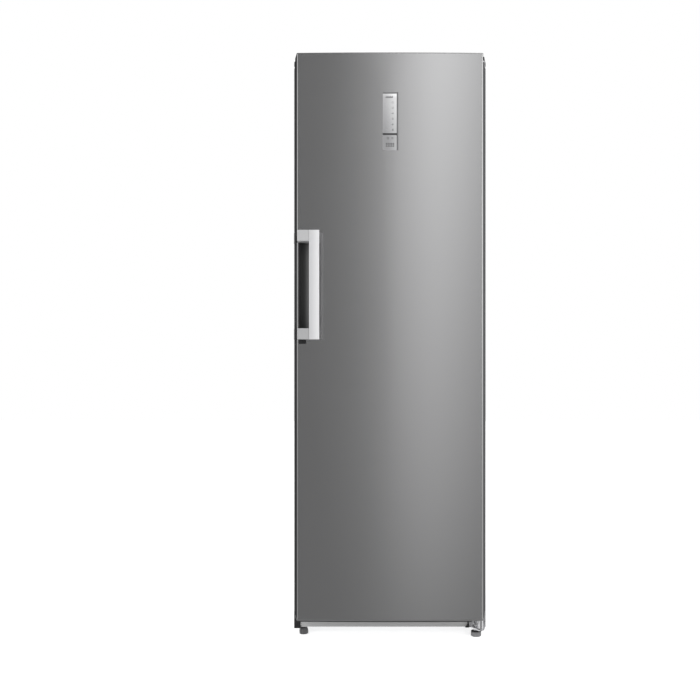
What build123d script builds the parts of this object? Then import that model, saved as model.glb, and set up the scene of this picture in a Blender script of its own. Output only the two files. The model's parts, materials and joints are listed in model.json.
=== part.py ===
from build123d import *
import os
from math import cos, radians, sin, tan

os.makedirs("parts", exist_ok=True)

# A tall refrigerator with one door, in millimetres.
# The front faces -Y, the handle is at -X, the hinge at +X and +Z is up.
# The origin lies on the floor under the middle of the whole machine.

# Cabinet
cabinet_width = 595.0
cabinet_depth = 545.0
cabinet_top = 1768.0
cabinet_underside = 24.0
sheet = 0.8
shell_bend = 10.0
flange_width = 40.0
hem_width = 14.0
side_wall = 45.0
top_wall = 50.0
back_wall = 50.0
pan_level = 58.0
bay_depth = 190.0
bay_top = 262.0
bead_width = 18.0
bead_height = 2.0
bead_inset = 147.5
rear_gap = 32.0

# Inner liner
liner_wall = 2.0
liner_floor = 112.0
liner_corner = 18.0
lip_width = 4.5
step_wall = 40.0
step_slope_depth = 45.0
step_slope_height = 52.0
rib_reach = 8.0
rib_height = 10.0

# Door
door_bottom = 62.0
door_rise = 22.0
door_side_gap = 3.5
door_spread = 10.5
door_depth = 64.0
door_bow = 6.0
door_bend = 5.0
door_hem = 14.0
seal_gap = 8.0
top_rim = 3.0
bottom_rim = 4.0
top_plug = 38.0
bottom_plug = 20.0
dyke_clearance = 12.0
dyke_width = 26.0
dyke_depth = 30.0
dyke_corner = 18.0
dyke_slope = 6.0
gasket_reach = 22.5
gasket_width = 20.0
gasket_crown = 13.0
gasket_base = 4.0

# Door hinges
hinge_side_inset = 18.5
hinge_set_back = 32.0
pin_radius = 4.0
pin_collar_radius = 7.0
pin_engagement = 10.0
bush_floor = 2.0
bush_wall = 3.0
hinge_plate = 4.0
lower_hinge_sheet = 3.0
hinge_nose_radius = 11.0
hinge_strip_width = 50.0
hinge_strip_margin = 1.5
hinge_screw_rise = 18.0
nose_drop = 2.0
hinge_flange_height = 52.0
upper_hinge_reach = 45.0
lower_plate_level = 26.0
recess_floor_drop = 25.0
recess_width = 66.0
recess_lip = 6.0
screw_radius = 2.5
screw_head_radius = 5.0
small_sides = 12
round_sides = 24
screw_head_height = 2.5
screw_length = 10.0

# Handle
handle_reach = 45.0
handle_length = 328.0
handle_middle = 1082.0
bar_width = 30.0
bar_thickness = 12.0
bar_edge = 2.0
bracket_height = 33.0
bracket_set_back = 3.0
bracket_width = 36.0
bracket_inset = 5.5
bracket_tail = 26.0
bracket_edge = 1.5
side_cap_depth = 38.0
side_cap_reach = 5.0
cup_depth = 26.0
cup_wall = 2.0
cup_inset = 5.0
cup_hidden_width = 23.0

# Display
display_width = 44.0
display_height = 173.0
display_drop = 210.5
display_housing_depth = 14.0
display_frame_width = 1.2
divider_height = 6.0
touch_height = 42.5
window_thickness = 2.0
display_recess = 0.3

# Trim round the cabinet's front
trim_height = 18.0
trim_depth = 60.0
trim_corner = 8.0
rail_lip = 35.0
rail_bend = 5.0
rail_left_margin = 20.0
rail_right_margin = 57.5
corner_cap_height = 50.0
corner_cap_depth = 5.0
corner_cap_sole = 2.0
corner_cap_tongue = 16.0
corner_cap_edge = 2.0
rail_screw_inset = 20.5

# Feet and rollers
foot_stem_radius = 5.0
stem_length = 30.0
left_foot_radius = 14.5
left_foot_height = 22.0
left_foot_shoulder = 13.0
left_foot_lean = 28.0
left_foot_inset = 28.5
left_foot_set_back = 17.0
right_foot_radius = 16.2
right_foot_height = 17.0
right_foot_edge = 4.0
right_foot_inset = 30.5
right_foot_lead = 10.0
collar_radius = 8.0
nut_radius = 8.0
nut_height = 8.0
roller_radius = 15.0
roller_width = 13.0
roller_inset = 60.0
roller_set_back = 34.0
axle_radius = 3.0
fork_wall = 2.0
fork_side_gap = 1.5
fork_length = 24.0
fork_low = 7.0

# Shelves and drawers
shelf_count = 4
lowest_shelf_level = 445.0
top_shelf_room = 373.0
shelf_thickness = 4.0
shelf_side_gap = 1.0
shelf_set_back = 120.0
trim_grip = 12.0
trim_lap = 3.0
trim_wall = 2.0
upstand = 12.0
drawer_wall = 2.5
drawer_draft = 1.5
drawer_corner = 8.0
drawer_side_gap = 3.0
drawer_back_gap = 8.0
drawer_head_gap = 6.0
chill_height = 96.0
chill_rise = 14.0
chill_back_gap = 25.0
pull_height = 14.0
pull_reach = 9.0
runner_reach = 7.0
runner_height = 4.0

# Air duct, evaporator, fan and lamp
duct_side_gap = 32.5
duct_depth = 50.0
duct_foot_gap = 28.0
duct_head_gap = 68.0
duct_wall = 2.5
duct_edge = 10.0
vent_length = 110.0
vent_height = 7.0
vent_share = 0.55
fan_level = 760.0
fan_radius = 48.0
fan_hub_radius = 18.0
fan_depth = 16.0
fan_blades = 7
blade_thickness = 2.0
blade_pitch = 35.0
blade_chord = 24.0
fan_gap = 4.0
motor_width = 46.0
motor_corner = 8.0
motor_depth = 20.0
motor_shaft_radius = 2.5
grille_slots = 12
grille_slot_length = 26.0
grille_radius = 30.0
evaporator_inset = 50.0
evaporator_height = 230.0
evaporator_depth = 36.0
evaporator_low = 380.0
fin_pitch = 25.0
fin_gap = 17.0
fin_cut = 12.0
lamp_width = 210.0
lamp_depth = 32.0
lamp_height = 8.0
lamp_set_back = 60.0

# Bins on the door
bin_side_gap = 12.5
bin_depth = 92.0
bin_wall = 2.5
bin_draft = 2.0
bin_corner = 6.0
bin_height = 84.0
bottle_bin_height = 120.0
bottle_bin_level = 150.0
lower_bin_level = 520.0
upper_bin_level = 880.0
dairy_bin_level = 1290.0
ledge_reach = 8.0
ledge_height = 14.0
ledge_start = 10.0
ledge_depth = 18.0
ear_height = 10.0
ear_drop = 24.0
cheek_depth = 34.0
flap_rise = 44.0
flap_set_back = 8.0
flap_thickness = 2.0
flap_pin_radius = 3.0
flap_gap = 1.0

# Machine bay at the back
tray_plate = 1.5
tray_level = 40.0
tray_flange = 25.0
compressor_inset = 207.5
compressor_radius = 74.0
compressor_height = 152.0
compressor_waist = 12.0
compressor_dome = 28.0
weld_rim = 4.0
weld_rim_height = 6.0
weld_rise = 90.0
mount_plate_width = 196.0
mount_plate_depth = 130.0
mount_plate_thickness = 3.0
grommet_radius = 11.0
grommet_height = 14.0
grommet_inset = 14.0
grommet_neck = 5.0
washer_radius = 8.0
washer_height = 3.0
relay_width = 54.0
relay_depth = 34.0
relay_height = 62.0
relay_rise = 24.0
relay_overlap = 8.0
drip_tray_width = 190.0
drip_tray_depth = 140.0
drip_tray_height = 28.0
drip_tray_wall = 2.0
drip_tray_draft = 6.0
gland_inset = 97.5
gland_radius = 9.0
gland_bore = 4.0
gland_flange = 12.0
gland_lip = 2.5

# Condenser on the back
coil_inset = 67.5
coil_radius = 2.6
coil_low = 400.0
coil_pitch = 124.0
coil_bend = 30.0
coil_passes = 8
coil_stand_off = 14.0
tube_sides = 6
wire_side = 2.0
wire_pitch = 25.0
wire_overhang = 12.0
clip_width = 12.0
clip_height = 26.0
pipe_radius = 3.2
pipe_bend = 22.0
pipe_offset = 26.0
pipe_level = 110.0
suction_level = 170.0
dryer_radius = 8.0
dryer_length = 80.0
dryer_level = 285.0

# Fits
clearance = 0.3
hang_gap = 0.5

# Places worked out from the sizes above
half_width = cabinet_width / 2
whole_depth = handle_reach + door_depth + seal_gap + cabinet_depth + rear_gap
door_top = cabinet_top + door_rise
door_back_half = half_width - door_side_gap
door_front_half = door_back_half - door_spread
door_front = handle_reach - whole_depth / 2
door_back = door_front + door_depth
cabinet_front = door_back + seal_gap
cabinet_back = cabinet_front + cabinet_depth
opening_half = half_width - side_wall
opening_top = cabinet_top - top_wall
liner_back = cabinet_back - back_wall
flange_half = half_width - flange_width
bead_x = half_width - bead_inset
bay_front = cabinet_back - bay_depth
step_front = bay_front - step_wall
step_level = bay_top + step_wall
duct_front = liner_back - duct_depth
duct_half = opening_half - duct_side_gap
duct_low = step_level + duct_foot_gap
duct_high = opening_top - duct_head_gap
evaporator_half = duct_half - evaporator_inset
shelf_front = cabinet_front + shelf_set_back
shelf_back = duct_front - clearance
shelf_half = opening_half - shelf_side_gap
shelf_pitch = (opening_top - top_shelf_room - lowest_shelf_level) / (shelf_count - 1)
shelf_levels = [lowest_shelf_level + n * shelf_pitch for n in range(shelf_count)]
rib_front = shelf_front + trim_grip
chill_low = step_level + shelf_thickness + chill_rise
chill_rib = chill_low + chill_height - runner_height - clearance
lip_half = flange_half - hang_gap
lip_top = cabinet_top - flange_width - hang_gap
rail_top = liner_floor - lip_width
rail_left = -half_width + rail_left_margin
rail_right = half_width - rail_right_margin
hinge_x = half_width - hinge_side_inset
hinge_y = door_front + hinge_set_back
door_face_inside = door_back - sheet
liner_plate_front = door_face_inside - liner_wall
dyke_half = opening_half - dyke_clearance
dyke_low = liner_floor + dyke_clearance
dyke_high = opening_top - dyke_clearance
recess_floor = door_top - recess_floor_drop
bar_front = door_front - handle_reach
bar_back = bar_front + bar_thickness
display_middle = door_top - display_drop
handle_low = handle_middle - handle_length / 2
handle_high = handle_middle + handle_length / 2
cup_low = handle_low + bracket_height
cup_high = handle_high - bracket_height
bracket_left = bracket_inset - door_front_half
bar_left = bracket_left + bracket_width
cup_left = cup_inset - door_front_half
cup_right = bar_left + cup_hidden_width
left_foot_x = left_foot_inset - half_width
left_foot_y = cabinet_front + left_foot_set_back
right_foot_x = half_width - right_foot_inset
right_foot_y = cabinet_front - right_foot_lead
roller_x = half_width - roller_inset
roller_y = cabinet_back - roller_set_back
coil_y = cabinet_back + coil_stand_off
coil_half_width = half_width - coil_inset
compressor_x = half_width - compressor_inset
gland_x = gland_inset - half_width
compressor_y = (bay_front + cabinet_back) / 2
mount_plate_level = tray_level + tray_plate + grommet_height
compressor_low = mount_plate_level + mount_plate_thickness
compressor_high = compressor_low + compressor_height
coil_levels = [coil_low + n * coil_pitch for n in range(coil_passes)]
dyke_inner = dyke_half - dyke_width
dyke_back = door_face_inside + dyke_depth
bin_half = dyke_inner - bin_side_gap
ledge_front = door_face_inside + ledge_start
bush_radius = pin_radius + bush_wall
bush_height = pin_engagement + bush_floor
flap_axis_y = door_face_inside + flap_set_back
flap_axis_z = dairy_bin_level + bin_height + flap_rise


def wall_plane(y):
    """The upright plane at this depth, seen from the front: X to the right and Z up."""
    return Plane.XZ.offset(-y)


def panel(left, right, low, high, mode=Mode.ADD):
    """A rectangle drawn between its four sides."""
    with Locations(((left + right) / 2, (low + high) / 2)):
        Rectangle(right - left, high - low, mode=mode)


def cabinet_outline(inset, low):
    """The cabinet's outline from the front, inset from the outside, with the bends of its top corners."""
    side = half_width - inset
    top = cabinet_top - inset
    with BuildLine() as outline:
        FilletPolyline((-side, low), (-side, top), (side, top), (side, low), radius=shell_bend - inset)
        Line((side, low), (-side, low))
    make_face(outline.edges())


def door_plan(inset, back):
    """The door's plan: a bowed front, two corner bends, and sides that spread towards the cabinet."""
    front_half = door_front_half - inset
    corner_y = door_front + door_bow + inset
    back_half = front_half + door_spread * (back - corner_y) / (door_back - corner_y)
    with BuildSketch() as plan:
        with BuildLine():
            ThreePointArc((-front_half, corner_y), (0, door_front + inset), (front_half, corner_y))
            Polyline((front_half, corner_y), (back_half, back), (-back_half, back), (-front_half, corner_y))
        make_face()
        fillet(plan.vertices().group_by(Axis.Y)[0], door_bend - inset)
    return plan.sketch


def cavity_profile(growth):
    """The food space from the side, grown on every side, with the sloped step over the machine bay."""
    lead = cabinet_front - 4 * liner_corner
    with BuildSketch() as profile:
        with BuildLine():
            Polyline(
                (lead, liner_floor),
                (step_front, liner_floor),
                (step_front, step_level - step_slope_height),
                (step_front + step_slope_depth, step_level),
                (liner_back, step_level),
                (liner_back, opening_top),
                (lead, opening_top),
                close=True,
            )
        make_face()
        if growth:
            offset(amount=growth, kind=Kind.INTERSECTION)
    return profile.sketch


def cavity_block(growth, front):
    """The food space, grown on every side, as one solid that starts at this front plane."""
    with BuildPart() as block:
        with BuildSketch(Plane.YZ.offset(-opening_half - growth)):
            add(cavity_profile(growth))
        extrude(amount=2 * (opening_half + growth))
        rims = block.faces().filter_by(Axis.X).edges()
        back_edges = rims.filter_by(Axis.Z).group_by(Axis.Y)[-1]
        top_edges = rims.filter_by(Axis.Y).group_by(Axis.Z)[-1]
        fillet(back_edges + top_edges, liner_corner + growth)
        split(bisect_by=wall_plane(front), keep=Keep.BOTTOM)
    return block.part


def open_tray(place, width, depth, height, wall, draft, corner):
    """An open moulded tray that stands on this place, with walls that lean out by the draft angle."""
    rim_plane = Plane(place).offset(height)
    with BuildPart() as tray:
        with BuildSketch(rim_plane):
            rim = Rectangle(width, depth)
            chamfer(rim.vertices(), corner)
        extrude(amount=-height, taper=draft)
        with BuildSketch(rim_plane):
            mouth = Rectangle(width - 2 * wall, depth - 2 * wall)
            chamfer(mouth.vertices(), corner - wall / 2)
        extrude(amount=wall - height, taper=draft, mode=Mode.SUBTRACT)
    return tray.part


def hinge_nose(growth, front, back):
    """The plan of both hinge plates: a strip on the cabinet that narrows to a round nose at the pin."""
    strip_right = half_width - hinge_strip_margin + growth
    with Locations((hinge_x, hinge_y)):
        Circle(hinge_nose_radius + growth)
    panel(strip_right - hinge_strip_width - 2 * growth, strip_right, front - growth, back + growth)
    make_hull()


def screw(place, direction):
    """A hexagon-headed screw: its head sits on this place and its shank runs along the direction."""
    seat = Plane(place, z_dir=direction)
    with BuildPart() as fastener:
        with BuildSketch(seat):
            RegularPolygon(radius=screw_radius, side_count=6)
        extrude(amount=screw_length)
        with BuildSketch(seat):
            RegularPolygon(radius=screw_head_radius, side_count=6)
        extrude(amount=-screw_head_height)
    return fastener.part


def tube(points, bend, radius):
    """A tube along straight runs, with every right-angled bend made of two short straight pieces."""
    stops = [Vector(*point) for point in points]
    corners = [stops[0]]
    for before, corner, after in zip(stops, stops[1:], stops[2:]):
        back = (before - corner).normalized() * bend
        ahead = (after - corner).normalized() * bend
        waist = corner + (back + ahead) * (1 - cos(radians(45)))
        corners += [corner + back, waist, corner + ahead]
    with BuildPart() as run:
        with BuildLine() as route:
            Polyline(*corners, stops[-1])
        with BuildSketch(Plane(origin=route.line @ 0, z_dir=route.line % 0)):
            RegularPolygon(radius=radius, side_count=tube_sides)
        sweep(path=route.line, transition=Transition.RIGHT)
    return run.part


def block(left, right, front, back, low, high):
    """A box between six planes."""
    with BuildPart() as box:
        with BuildSketch(Plane.XY.offset(low)):
            panel(left, right, front, back)
        extrude(amount=high - low)
    return box.part


def rod(x, y, radius, low, high):
    """An upright cylinder."""
    with BuildPart() as cylinder:
        with BuildSketch(Plane((x, y, low))):
            Circle(radius)
        extrude(amount=high - low)
    return cylinder.part


def bush_block(low):
    """The outside of a hinge bush, eight-sided so that it can't turn in its cap."""
    with BuildPart() as prism:
        with BuildSketch(Plane((hinge_x, hinge_y, low))):
            RegularPolygon(radius=bush_radius, side_count=8)
        extrude(amount=bush_height)
    return prism.part


def door_block(inset, back, low, high):
    """The door's volume inside this inset, up to a back plane and between two levels."""
    with BuildPart() as volume:
        with BuildSketch(Plane.XY.offset(low)):
            add(door_plan(inset, back))
        extrude(amount=high - low)
    return volume.part


def dyke_ring(wall, back):
    """The raised ring inside the door, shrunk by a wall, from the door's inner plate to this back plane."""
    ring_height = dyke_high - dyke_low
    inner = dyke_width - wall
    with BuildPart() as ring:
        with BuildSketch(wall_plane(liner_plate_front)):
            with Locations((0, (dyke_low + dyke_high) / 2)):
                rim = Rectangle(2 * (dyke_half - wall), ring_height - 2 * wall)
                chamfer(rim.vertices(), dyke_corner - wall / 2)
                Rectangle(2 * (dyke_half - inner), ring_height - 2 * inner, mode=Mode.SUBTRACT)
        extrude(amount=liner_plate_front - back)
        chamfer(ring.edges().group_by(Axis.Y)[-1], dyke_slope - wall)
    return ring.part


def door_bin(level, height):
    """A bin for the inside of the door, with an ear on each end that rests on a ledge."""
    hook = level + height - ear_drop
    wall_middle = bin_half - ear_drop * tan(radians(bin_draft)) - bin_wall / 2
    with BuildPart() as body:
        place = (0, door_face_inside + bin_depth / 2, level)
        add(open_tray(place, 2 * bin_half, bin_depth, height, bin_wall, bin_draft, bin_corner))
        for side in (-1, 1):
            ends = sorted((side * wall_middle, side * (dyke_inner - bin_wall)))
            add(block(*ends, ledge_front, ledge_front + ledge_depth, hook, hook + ear_height))
    return body.part


def drawer(left, right, back, low, high):
    """A drawer between these planes, with a grip along the top of its front."""
    front = shelf_front
    middle = ((left + right) / 2, (front + back) / 2, low)
    size = (right - left, back - front, high - low)
    with BuildPart() as body:
        add(open_tray(middle, *size, drawer_wall, drawer_draft, drawer_corner))
        grip_left = left + drawer_corner
        grip_right = right - drawer_corner
        lip_front = front - pull_reach
        add(block(grip_left, grip_right, lip_front, front + drawer_wall / 2, high - drawer_wall, high))
        add(block(grip_left, grip_right, lip_front, lip_front + drawer_wall, high - pull_height, high))
    return body.part


# Screws that hold the hinges, the front rail and the corner cap
strip_right = half_width - hinge_strip_margin
strip_left = strip_right - hinge_strip_width
upper_screw_y = cabinet_front + upper_hinge_reach - 2 * screw_head_radius
lower_screw_z = lower_plate_level + hinge_screw_rise
screw_left = strip_left + 2 * screw_head_radius
screw_right = strip_right - 2 * screw_head_radius
with BuildPart() as case_screws:
    for x in (screw_left, screw_right):
        add(screw((x, upper_screw_y, cabinet_top + hinge_plate), (0, 0, -1)))
        add(screw((x, cabinet_front - lower_hinge_sheet, lower_screw_z), (0, 1, 0)))
    add(screw((rail_left + rail_screw_inset, cabinet_front, lower_screw_z), (0, 1, 0)))
    add(screw((rail_right - rail_screw_inset, cabinet_front, lower_screw_z), (0, 1, 0)))
case_screws.part.label = "case_screws"
export_step(case_screws.part, "parts/case_screws.step")

# Outer shell: one sheet bent over the sides and top, with a flange round the opening
with BuildPart() as cabinet_shell:
    with BuildSketch(wall_plane(cabinet_front)):
        cabinet_outline(0, cabinet_underside)
    extrude(amount=-cabinet_depth)
    with BuildSketch(wall_plane(cabinet_front + sheet)):
        cabinet_outline(sheet, cabinet_underside)
    extrude(amount=-cabinet_depth, mode=Mode.SUBTRACT)
    with BuildSketch(wall_plane(cabinet_front)):
        panel(-flange_half, flange_half, rail_top, cabinet_top - flange_width)
        panel(rail_left, rail_right, cabinet_underside, rail_top)
    extrude(amount=-sheet, mode=Mode.SUBTRACT)
    with BuildSketch(Plane.XY.offset(cabinet_underside)):
        panel(-half_width, hem_width - half_width, cabinet_front, cabinet_back)
        panel(half_width - hem_width, half_width, cabinet_front, cabinet_back)
    extrude(amount=sheet)
    add(case_screws.part, mode=Mode.SUBTRACT)
cabinet_shell.part.label = "cabinet_shell"
export_step(cabinet_shell.part, "parts/cabinet_shell.step")

# Back panel, stiffened by upright beads
with BuildPart() as back_panel:
    with BuildSketch(wall_plane(cabinet_back - sheet)):
        cabinet_outline(sheet, bay_top)
    extrude(amount=-sheet)
    bead_middle = (bay_top + cabinet_top) / 2
    bead_length = cabinet_top - bay_top - 2 * flange_width
    with BuildSketch(wall_plane(cabinet_back)):
        with Locations((-bead_x, bead_middle), (0, bead_middle), (bead_x, bead_middle)):
            beads = Rectangle(bead_width, bead_length)
            chamfer(beads.vertices(), bead_width / 3)
    extrude(amount=-bead_height)
back_panel.part.label = "back_panel"
export_step(back_panel.part, "parts/back_panel.step")

# Bottom pan: one bent sheet under the food space, up the front of the machine bay and over it
with BuildPart() as bottom_pan:
    with BuildSketch(Plane.YZ.offset(sheet - half_width)):
        panel(cabinet_front + sheet, bay_front, pan_level, pan_level + sheet)
        panel(bay_front - sheet, bay_front, pan_level, bay_top)
        panel(bay_front - sheet, cabinet_back - sheet, bay_top, bay_top + sheet)
    extrude(amount=2 * (half_width - sheet))
    add(case_screws.part, mode=Mode.SUBTRACT)
bottom_pan.part.label = "bottom_pan"
export_step(bottom_pan.part, "parts/bottom_pan.step")

# Liner: the white inner box, its front lip and the ribs that carry the shelves and the chill drawer
liner_outside = cavity_block(liner_wall, cabinet_front)
food_space = cavity_block(0, cabinet_front)
with BuildPart() as inner_liner:
    add(liner_outside)
    with BuildSketch(wall_plane(cabinet_front)):
        panel(-lip_half, lip_half, rail_top, lip_top)
    extrude(amount=-liner_wall)
    add(food_space, mode=Mode.SUBTRACT)
    rib_runs = [(level, duct_front) for level in shelf_levels + [chill_rib]]
    for level, rib_back in rib_runs + [(step_level, step_front)]:
        with BuildSketch(Plane.XY.offset(level - rib_height)):
            panel(-opening_half, rib_reach - opening_half, rib_front, rib_back)
            panel(opening_half - rib_reach, opening_half, rib_front, rib_back)
        extrude(amount=rib_height)
inner_liner.part.label = "inner_liner"
export_step(inner_liner.part, "parts/inner_liner.step")

# Insulating foam between the shell and the liner, in slabs with hairline joints
foam_front = cabinet_front + liner_wall
foam_back = cabinet_back - sheet
foam_side = opening_half + liner_wall
foam_ceiling = opening_top + liner_wall
foam_step = step_front + liner_wall
foam_sill = step_level - liner_wall
foam_low = pan_level + sheet
bay_roof = bay_top + sheet
with BuildPart() as cabinet_foam:
    with BuildSketch(wall_plane(foam_front)):
        cabinet_outline(sheet, foam_low)
        panel(-foam_side, foam_side, foam_low, cabinet_top, mode=Mode.SUBTRACT)
    extrude(amount=foam_front - foam_back)
    with BuildSketch(Plane.YZ.offset(-half_width)):
        panel(bay_front - sheet, foam_back, foam_low, bay_roof)
        panel(foam_front, foam_back, bay_roof, bay_roof + clearance)
    extrude(amount=cabinet_width, mode=Mode.SUBTRACT)
    with BuildSketch(Plane.YZ.offset(clearance - foam_side)):
        panel(foam_front, foam_back, foam_low, cabinet_top - sheet)
        add(cavity_profile(liner_wall), mode=Mode.SUBTRACT)
        panel(bay_front - sheet, foam_back, foam_low, bay_roof, mode=Mode.SUBTRACT)
        panel(step_front, foam_back, bay_roof, bay_roof + clearance, mode=Mode.SUBTRACT)
        panel(foam_step - clearance, foam_step, foam_low, liner_floor, mode=Mode.SUBTRACT)
        panel(liner_back, foam_back, foam_sill, foam_sill + clearance, mode=Mode.SUBTRACT)
        panel(liner_back, foam_back, foam_ceiling - clearance, foam_ceiling, mode=Mode.SUBTRACT)
    extrude(amount=2 * (foam_side - clearance))
    add(case_screws.part, mode=Mode.SUBTRACT)
cabinet_foam.part.label = "cabinet_foam"
export_step(cabinet_foam.part, "parts/cabinet_foam.step")

# Upper hinge: a plate on the cabinet's top that reaches over the door
with BuildPart() as upper_hinge:
    with BuildSketch(Plane.XY.offset(cabinet_top)):
        hinge_nose(0, cabinet_front, cabinet_front + upper_hinge_reach)
        with Locations((hinge_x, hinge_y)):
            Circle(pin_radius, mode=Mode.SUBTRACT)
    extrude(amount=hinge_plate)
    add(case_screws.part, mode=Mode.SUBTRACT)
upper_hinge.part.label = "upper_hinge"
export_step(upper_hinge.part, "parts/upper_hinge.step")

# Lower hinge: an angle on the cabinet's front whose plate carries the pin and the right foot
with BuildPart() as lower_hinge:
    with BuildSketch(Plane.XY.offset(lower_plate_level)):
        hinge_nose(0, cabinet_front - lower_hinge_sheet, cabinet_front)
    extrude(amount=lower_hinge_sheet)
    with BuildSketch(wall_plane(cabinet_front)):
        panel(strip_left, strip_right, lower_plate_level, lower_plate_level + hinge_flange_height)
    extrude(amount=lower_hinge_sheet)
    flange_tips = lower_hinge.edges().filter_by(Axis.Y).group_by(Axis.Z)[-1]
    chamfer(flange_tips, screw_head_radius)
    with BuildSketch(Plane.XY.offset(lower_plate_level + lower_hinge_sheet)):
        with Locations((right_foot_x, right_foot_y)):
            RegularPolygon(radius=nut_radius, side_count=6)
    extrude(amount=nut_height)
    with BuildSketch(Plane.XY.offset(lower_plate_level)):
        with Locations((right_foot_x, right_foot_y)):
            RegularPolygon(radius=foot_stem_radius + clearance, side_count=small_sides)
        with Locations((hinge_x, hinge_y)):
            Circle(pin_radius)
    extrude(amount=lower_hinge_sheet + nut_height, mode=Mode.SUBTRACT)
    add(case_screws.part, mode=Mode.SUBTRACT)
lower_hinge.part.label = "lower_hinge"
export_step(lower_hinge.part, "parts/lower_hinge.step")

# Hinge pins, riveted into the plates; the lower one has a collar that carries the door
with BuildPart() as hinge_pins:
    with BuildSketch(Plane.XY.offset(recess_floor - pin_engagement)):
        with Locations((hinge_x, hinge_y)):
            Circle(pin_radius)
    extrude(amount=cabinet_top + hinge_plate - recess_floor + pin_engagement)
    with BuildSketch(Plane.XY.offset(lower_plate_level)):
        with Locations((hinge_x, hinge_y)):
            Circle(pin_radius)
    extrude(amount=door_bottom + pin_engagement - lower_plate_level)
    collar_low = lower_plate_level + lower_hinge_sheet
    with BuildSketch(Plane.XY.offset(collar_low)):
        with Locations((hinge_x, hinge_y)):
            RegularPolygon(radius=pin_collar_radius, side_count=6)
    extrude(amount=door_bottom - clearance - collar_low)
hinge_pins.part.label = "hinge_pins"
export_step(hinge_pins.part, "parts/hinge_pins.step")

# Black trim along the top of the cabinet, with a nose that covers the upper hinge
with BuildPart() as top_trim:
    with BuildSketch(wall_plane(cabinet_front)):
        panel(-half_width, half_width, cabinet_top, cabinet_top + trim_height)
    extrude(amount=-trim_depth)
    fillet(top_trim.edges().filter_by(Axis.Y).group_by(Axis.Z)[-1], trim_corner)
    rear_edge = top_trim.edges().filter_by(Axis.X).group_by(Axis.Z)[-1].sort_by(Axis.Y)[-1]
    chamfer(rear_edge, trim_corner)
    with BuildSketch(Plane.XY.offset(cabinet_top + hinge_plate)):
        hinge_nose(0, cabinet_front, cabinet_front + upper_hinge_reach)
    extrude(amount=trim_height - hinge_plate - nose_drop)
    with BuildSketch(Plane.XY.offset(cabinet_top)):
        hinge_nose(clearance, cabinet_front, cabinet_front + upper_hinge_reach)
    extrude(amount=hinge_plate, mode=Mode.SUBTRACT)
    with BuildSketch(Plane.XY.offset(cabinet_top)):
        with Locations((screw_left, upper_screw_y), (screw_right, upper_screw_y)):
            RegularPolygon(radius=screw_head_radius + 2 * clearance, side_count=6)
    extrude(amount=hinge_plate + screw_head_height + clearance, mode=Mode.SUBTRACT)
top_trim.part.label = "top_trim"
export_step(top_trim.part, "parts/top_trim.step")

# Front rail below the door: an angle with a soft bend and the welded nut of the left foot
with BuildPart() as front_rail:
    with BuildSketch(Plane.YZ.offset(rail_left + clearance)):
        rail_back = cabinet_front + rail_lip
        inner_low = cabinet_underside + sheet
        inner_front = cabinet_front + sheet
        with BuildLine():
            FilletPolyline(
                (cabinet_front, rail_top),
                (cabinet_front, cabinet_underside),
                (rail_back, cabinet_underside),
                radius=rail_bend,
            )
            Line((rail_back, cabinet_underside), (rail_back, inner_low))
            FilletPolyline(
                (rail_back, inner_low),
                (inner_front, inner_low),
                (inner_front, rail_top),
                radius=rail_bend - sheet,
            )
            Line((inner_front, rail_top), (cabinet_front, rail_top))
        make_face()
    extrude(amount=rail_right - rail_left - 2 * clearance)
    with BuildSketch(Plane.XY.offset(cabinet_underside)):
        with Locations((left_foot_x, left_foot_y)):
            RegularPolygon(radius=nut_radius, side_count=6)
    extrude(amount=nut_height)
    with BuildSketch(Plane.XY.offset(cabinet_underside)):
        with Locations((left_foot_x, left_foot_y)):
            RegularPolygon(radius=foot_stem_radius + clearance, side_count=small_sides)
    extrude(amount=nut_height, mode=Mode.SUBTRACT)
    add(case_screws.part, mode=Mode.SUBTRACT)
front_rail.part.label = "front_rail"
export_step(front_rail.part, "parts/front_rail.step")

# Black cap on the cabinet's lower left corner
with BuildPart() as corner_cap:
    cap_right = rail_left - clearance
    cap_low = cabinet_underside - corner_cap_sole
    with BuildSketch(wall_plane(cabinet_front)):
        panel(-half_width, cap_right, cap_low, cabinet_underside + corner_cap_height)
    extrude(amount=corner_cap_depth)
    with BuildSketch(Plane.XY.offset(cap_low)):
        panel(-half_width, cap_right, cabinet_front, cabinet_front + corner_cap_tongue)
    extrude(amount=corner_cap_sole)
    fillet(corner_cap.edges().filter_by(Axis.Z).group_by(Axis.Y)[0], corner_cap_edge)
corner_cap.part.label = "corner_cap"
export_step(corner_cap.part, "parts/corner_cap.step")

# Left foot: a twelve-sided knob that narrows to a neck, on a threaded stem
with BuildPart() as front_foot_left:
    with BuildSketch(Plane((left_foot_x, left_foot_y, 0))):
        RegularPolygon(radius=left_foot_radius, side_count=small_sides)
    extrude(amount=left_foot_shoulder)
    with BuildSketch(Plane((left_foot_x, left_foot_y, left_foot_shoulder))):
        RegularPolygon(radius=left_foot_radius, side_count=small_sides)
    extrude(amount=left_foot_height - left_foot_shoulder, taper=left_foot_lean)
    with BuildSketch(Plane((left_foot_x, left_foot_y, left_foot_height))):
        RegularPolygon(radius=collar_radius, side_count=6)
    extrude(amount=cabinet_underside - clearance - left_foot_height)
    with BuildSketch(Plane((left_foot_x, left_foot_y, left_foot_height))):
        RegularPolygon(radius=foot_stem_radius, side_count=small_sides)
    extrude(amount=stem_length)
front_foot_left.part.label = "front_foot_left"
export_step(front_foot_left.part, "parts/front_foot_left.step")

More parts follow.
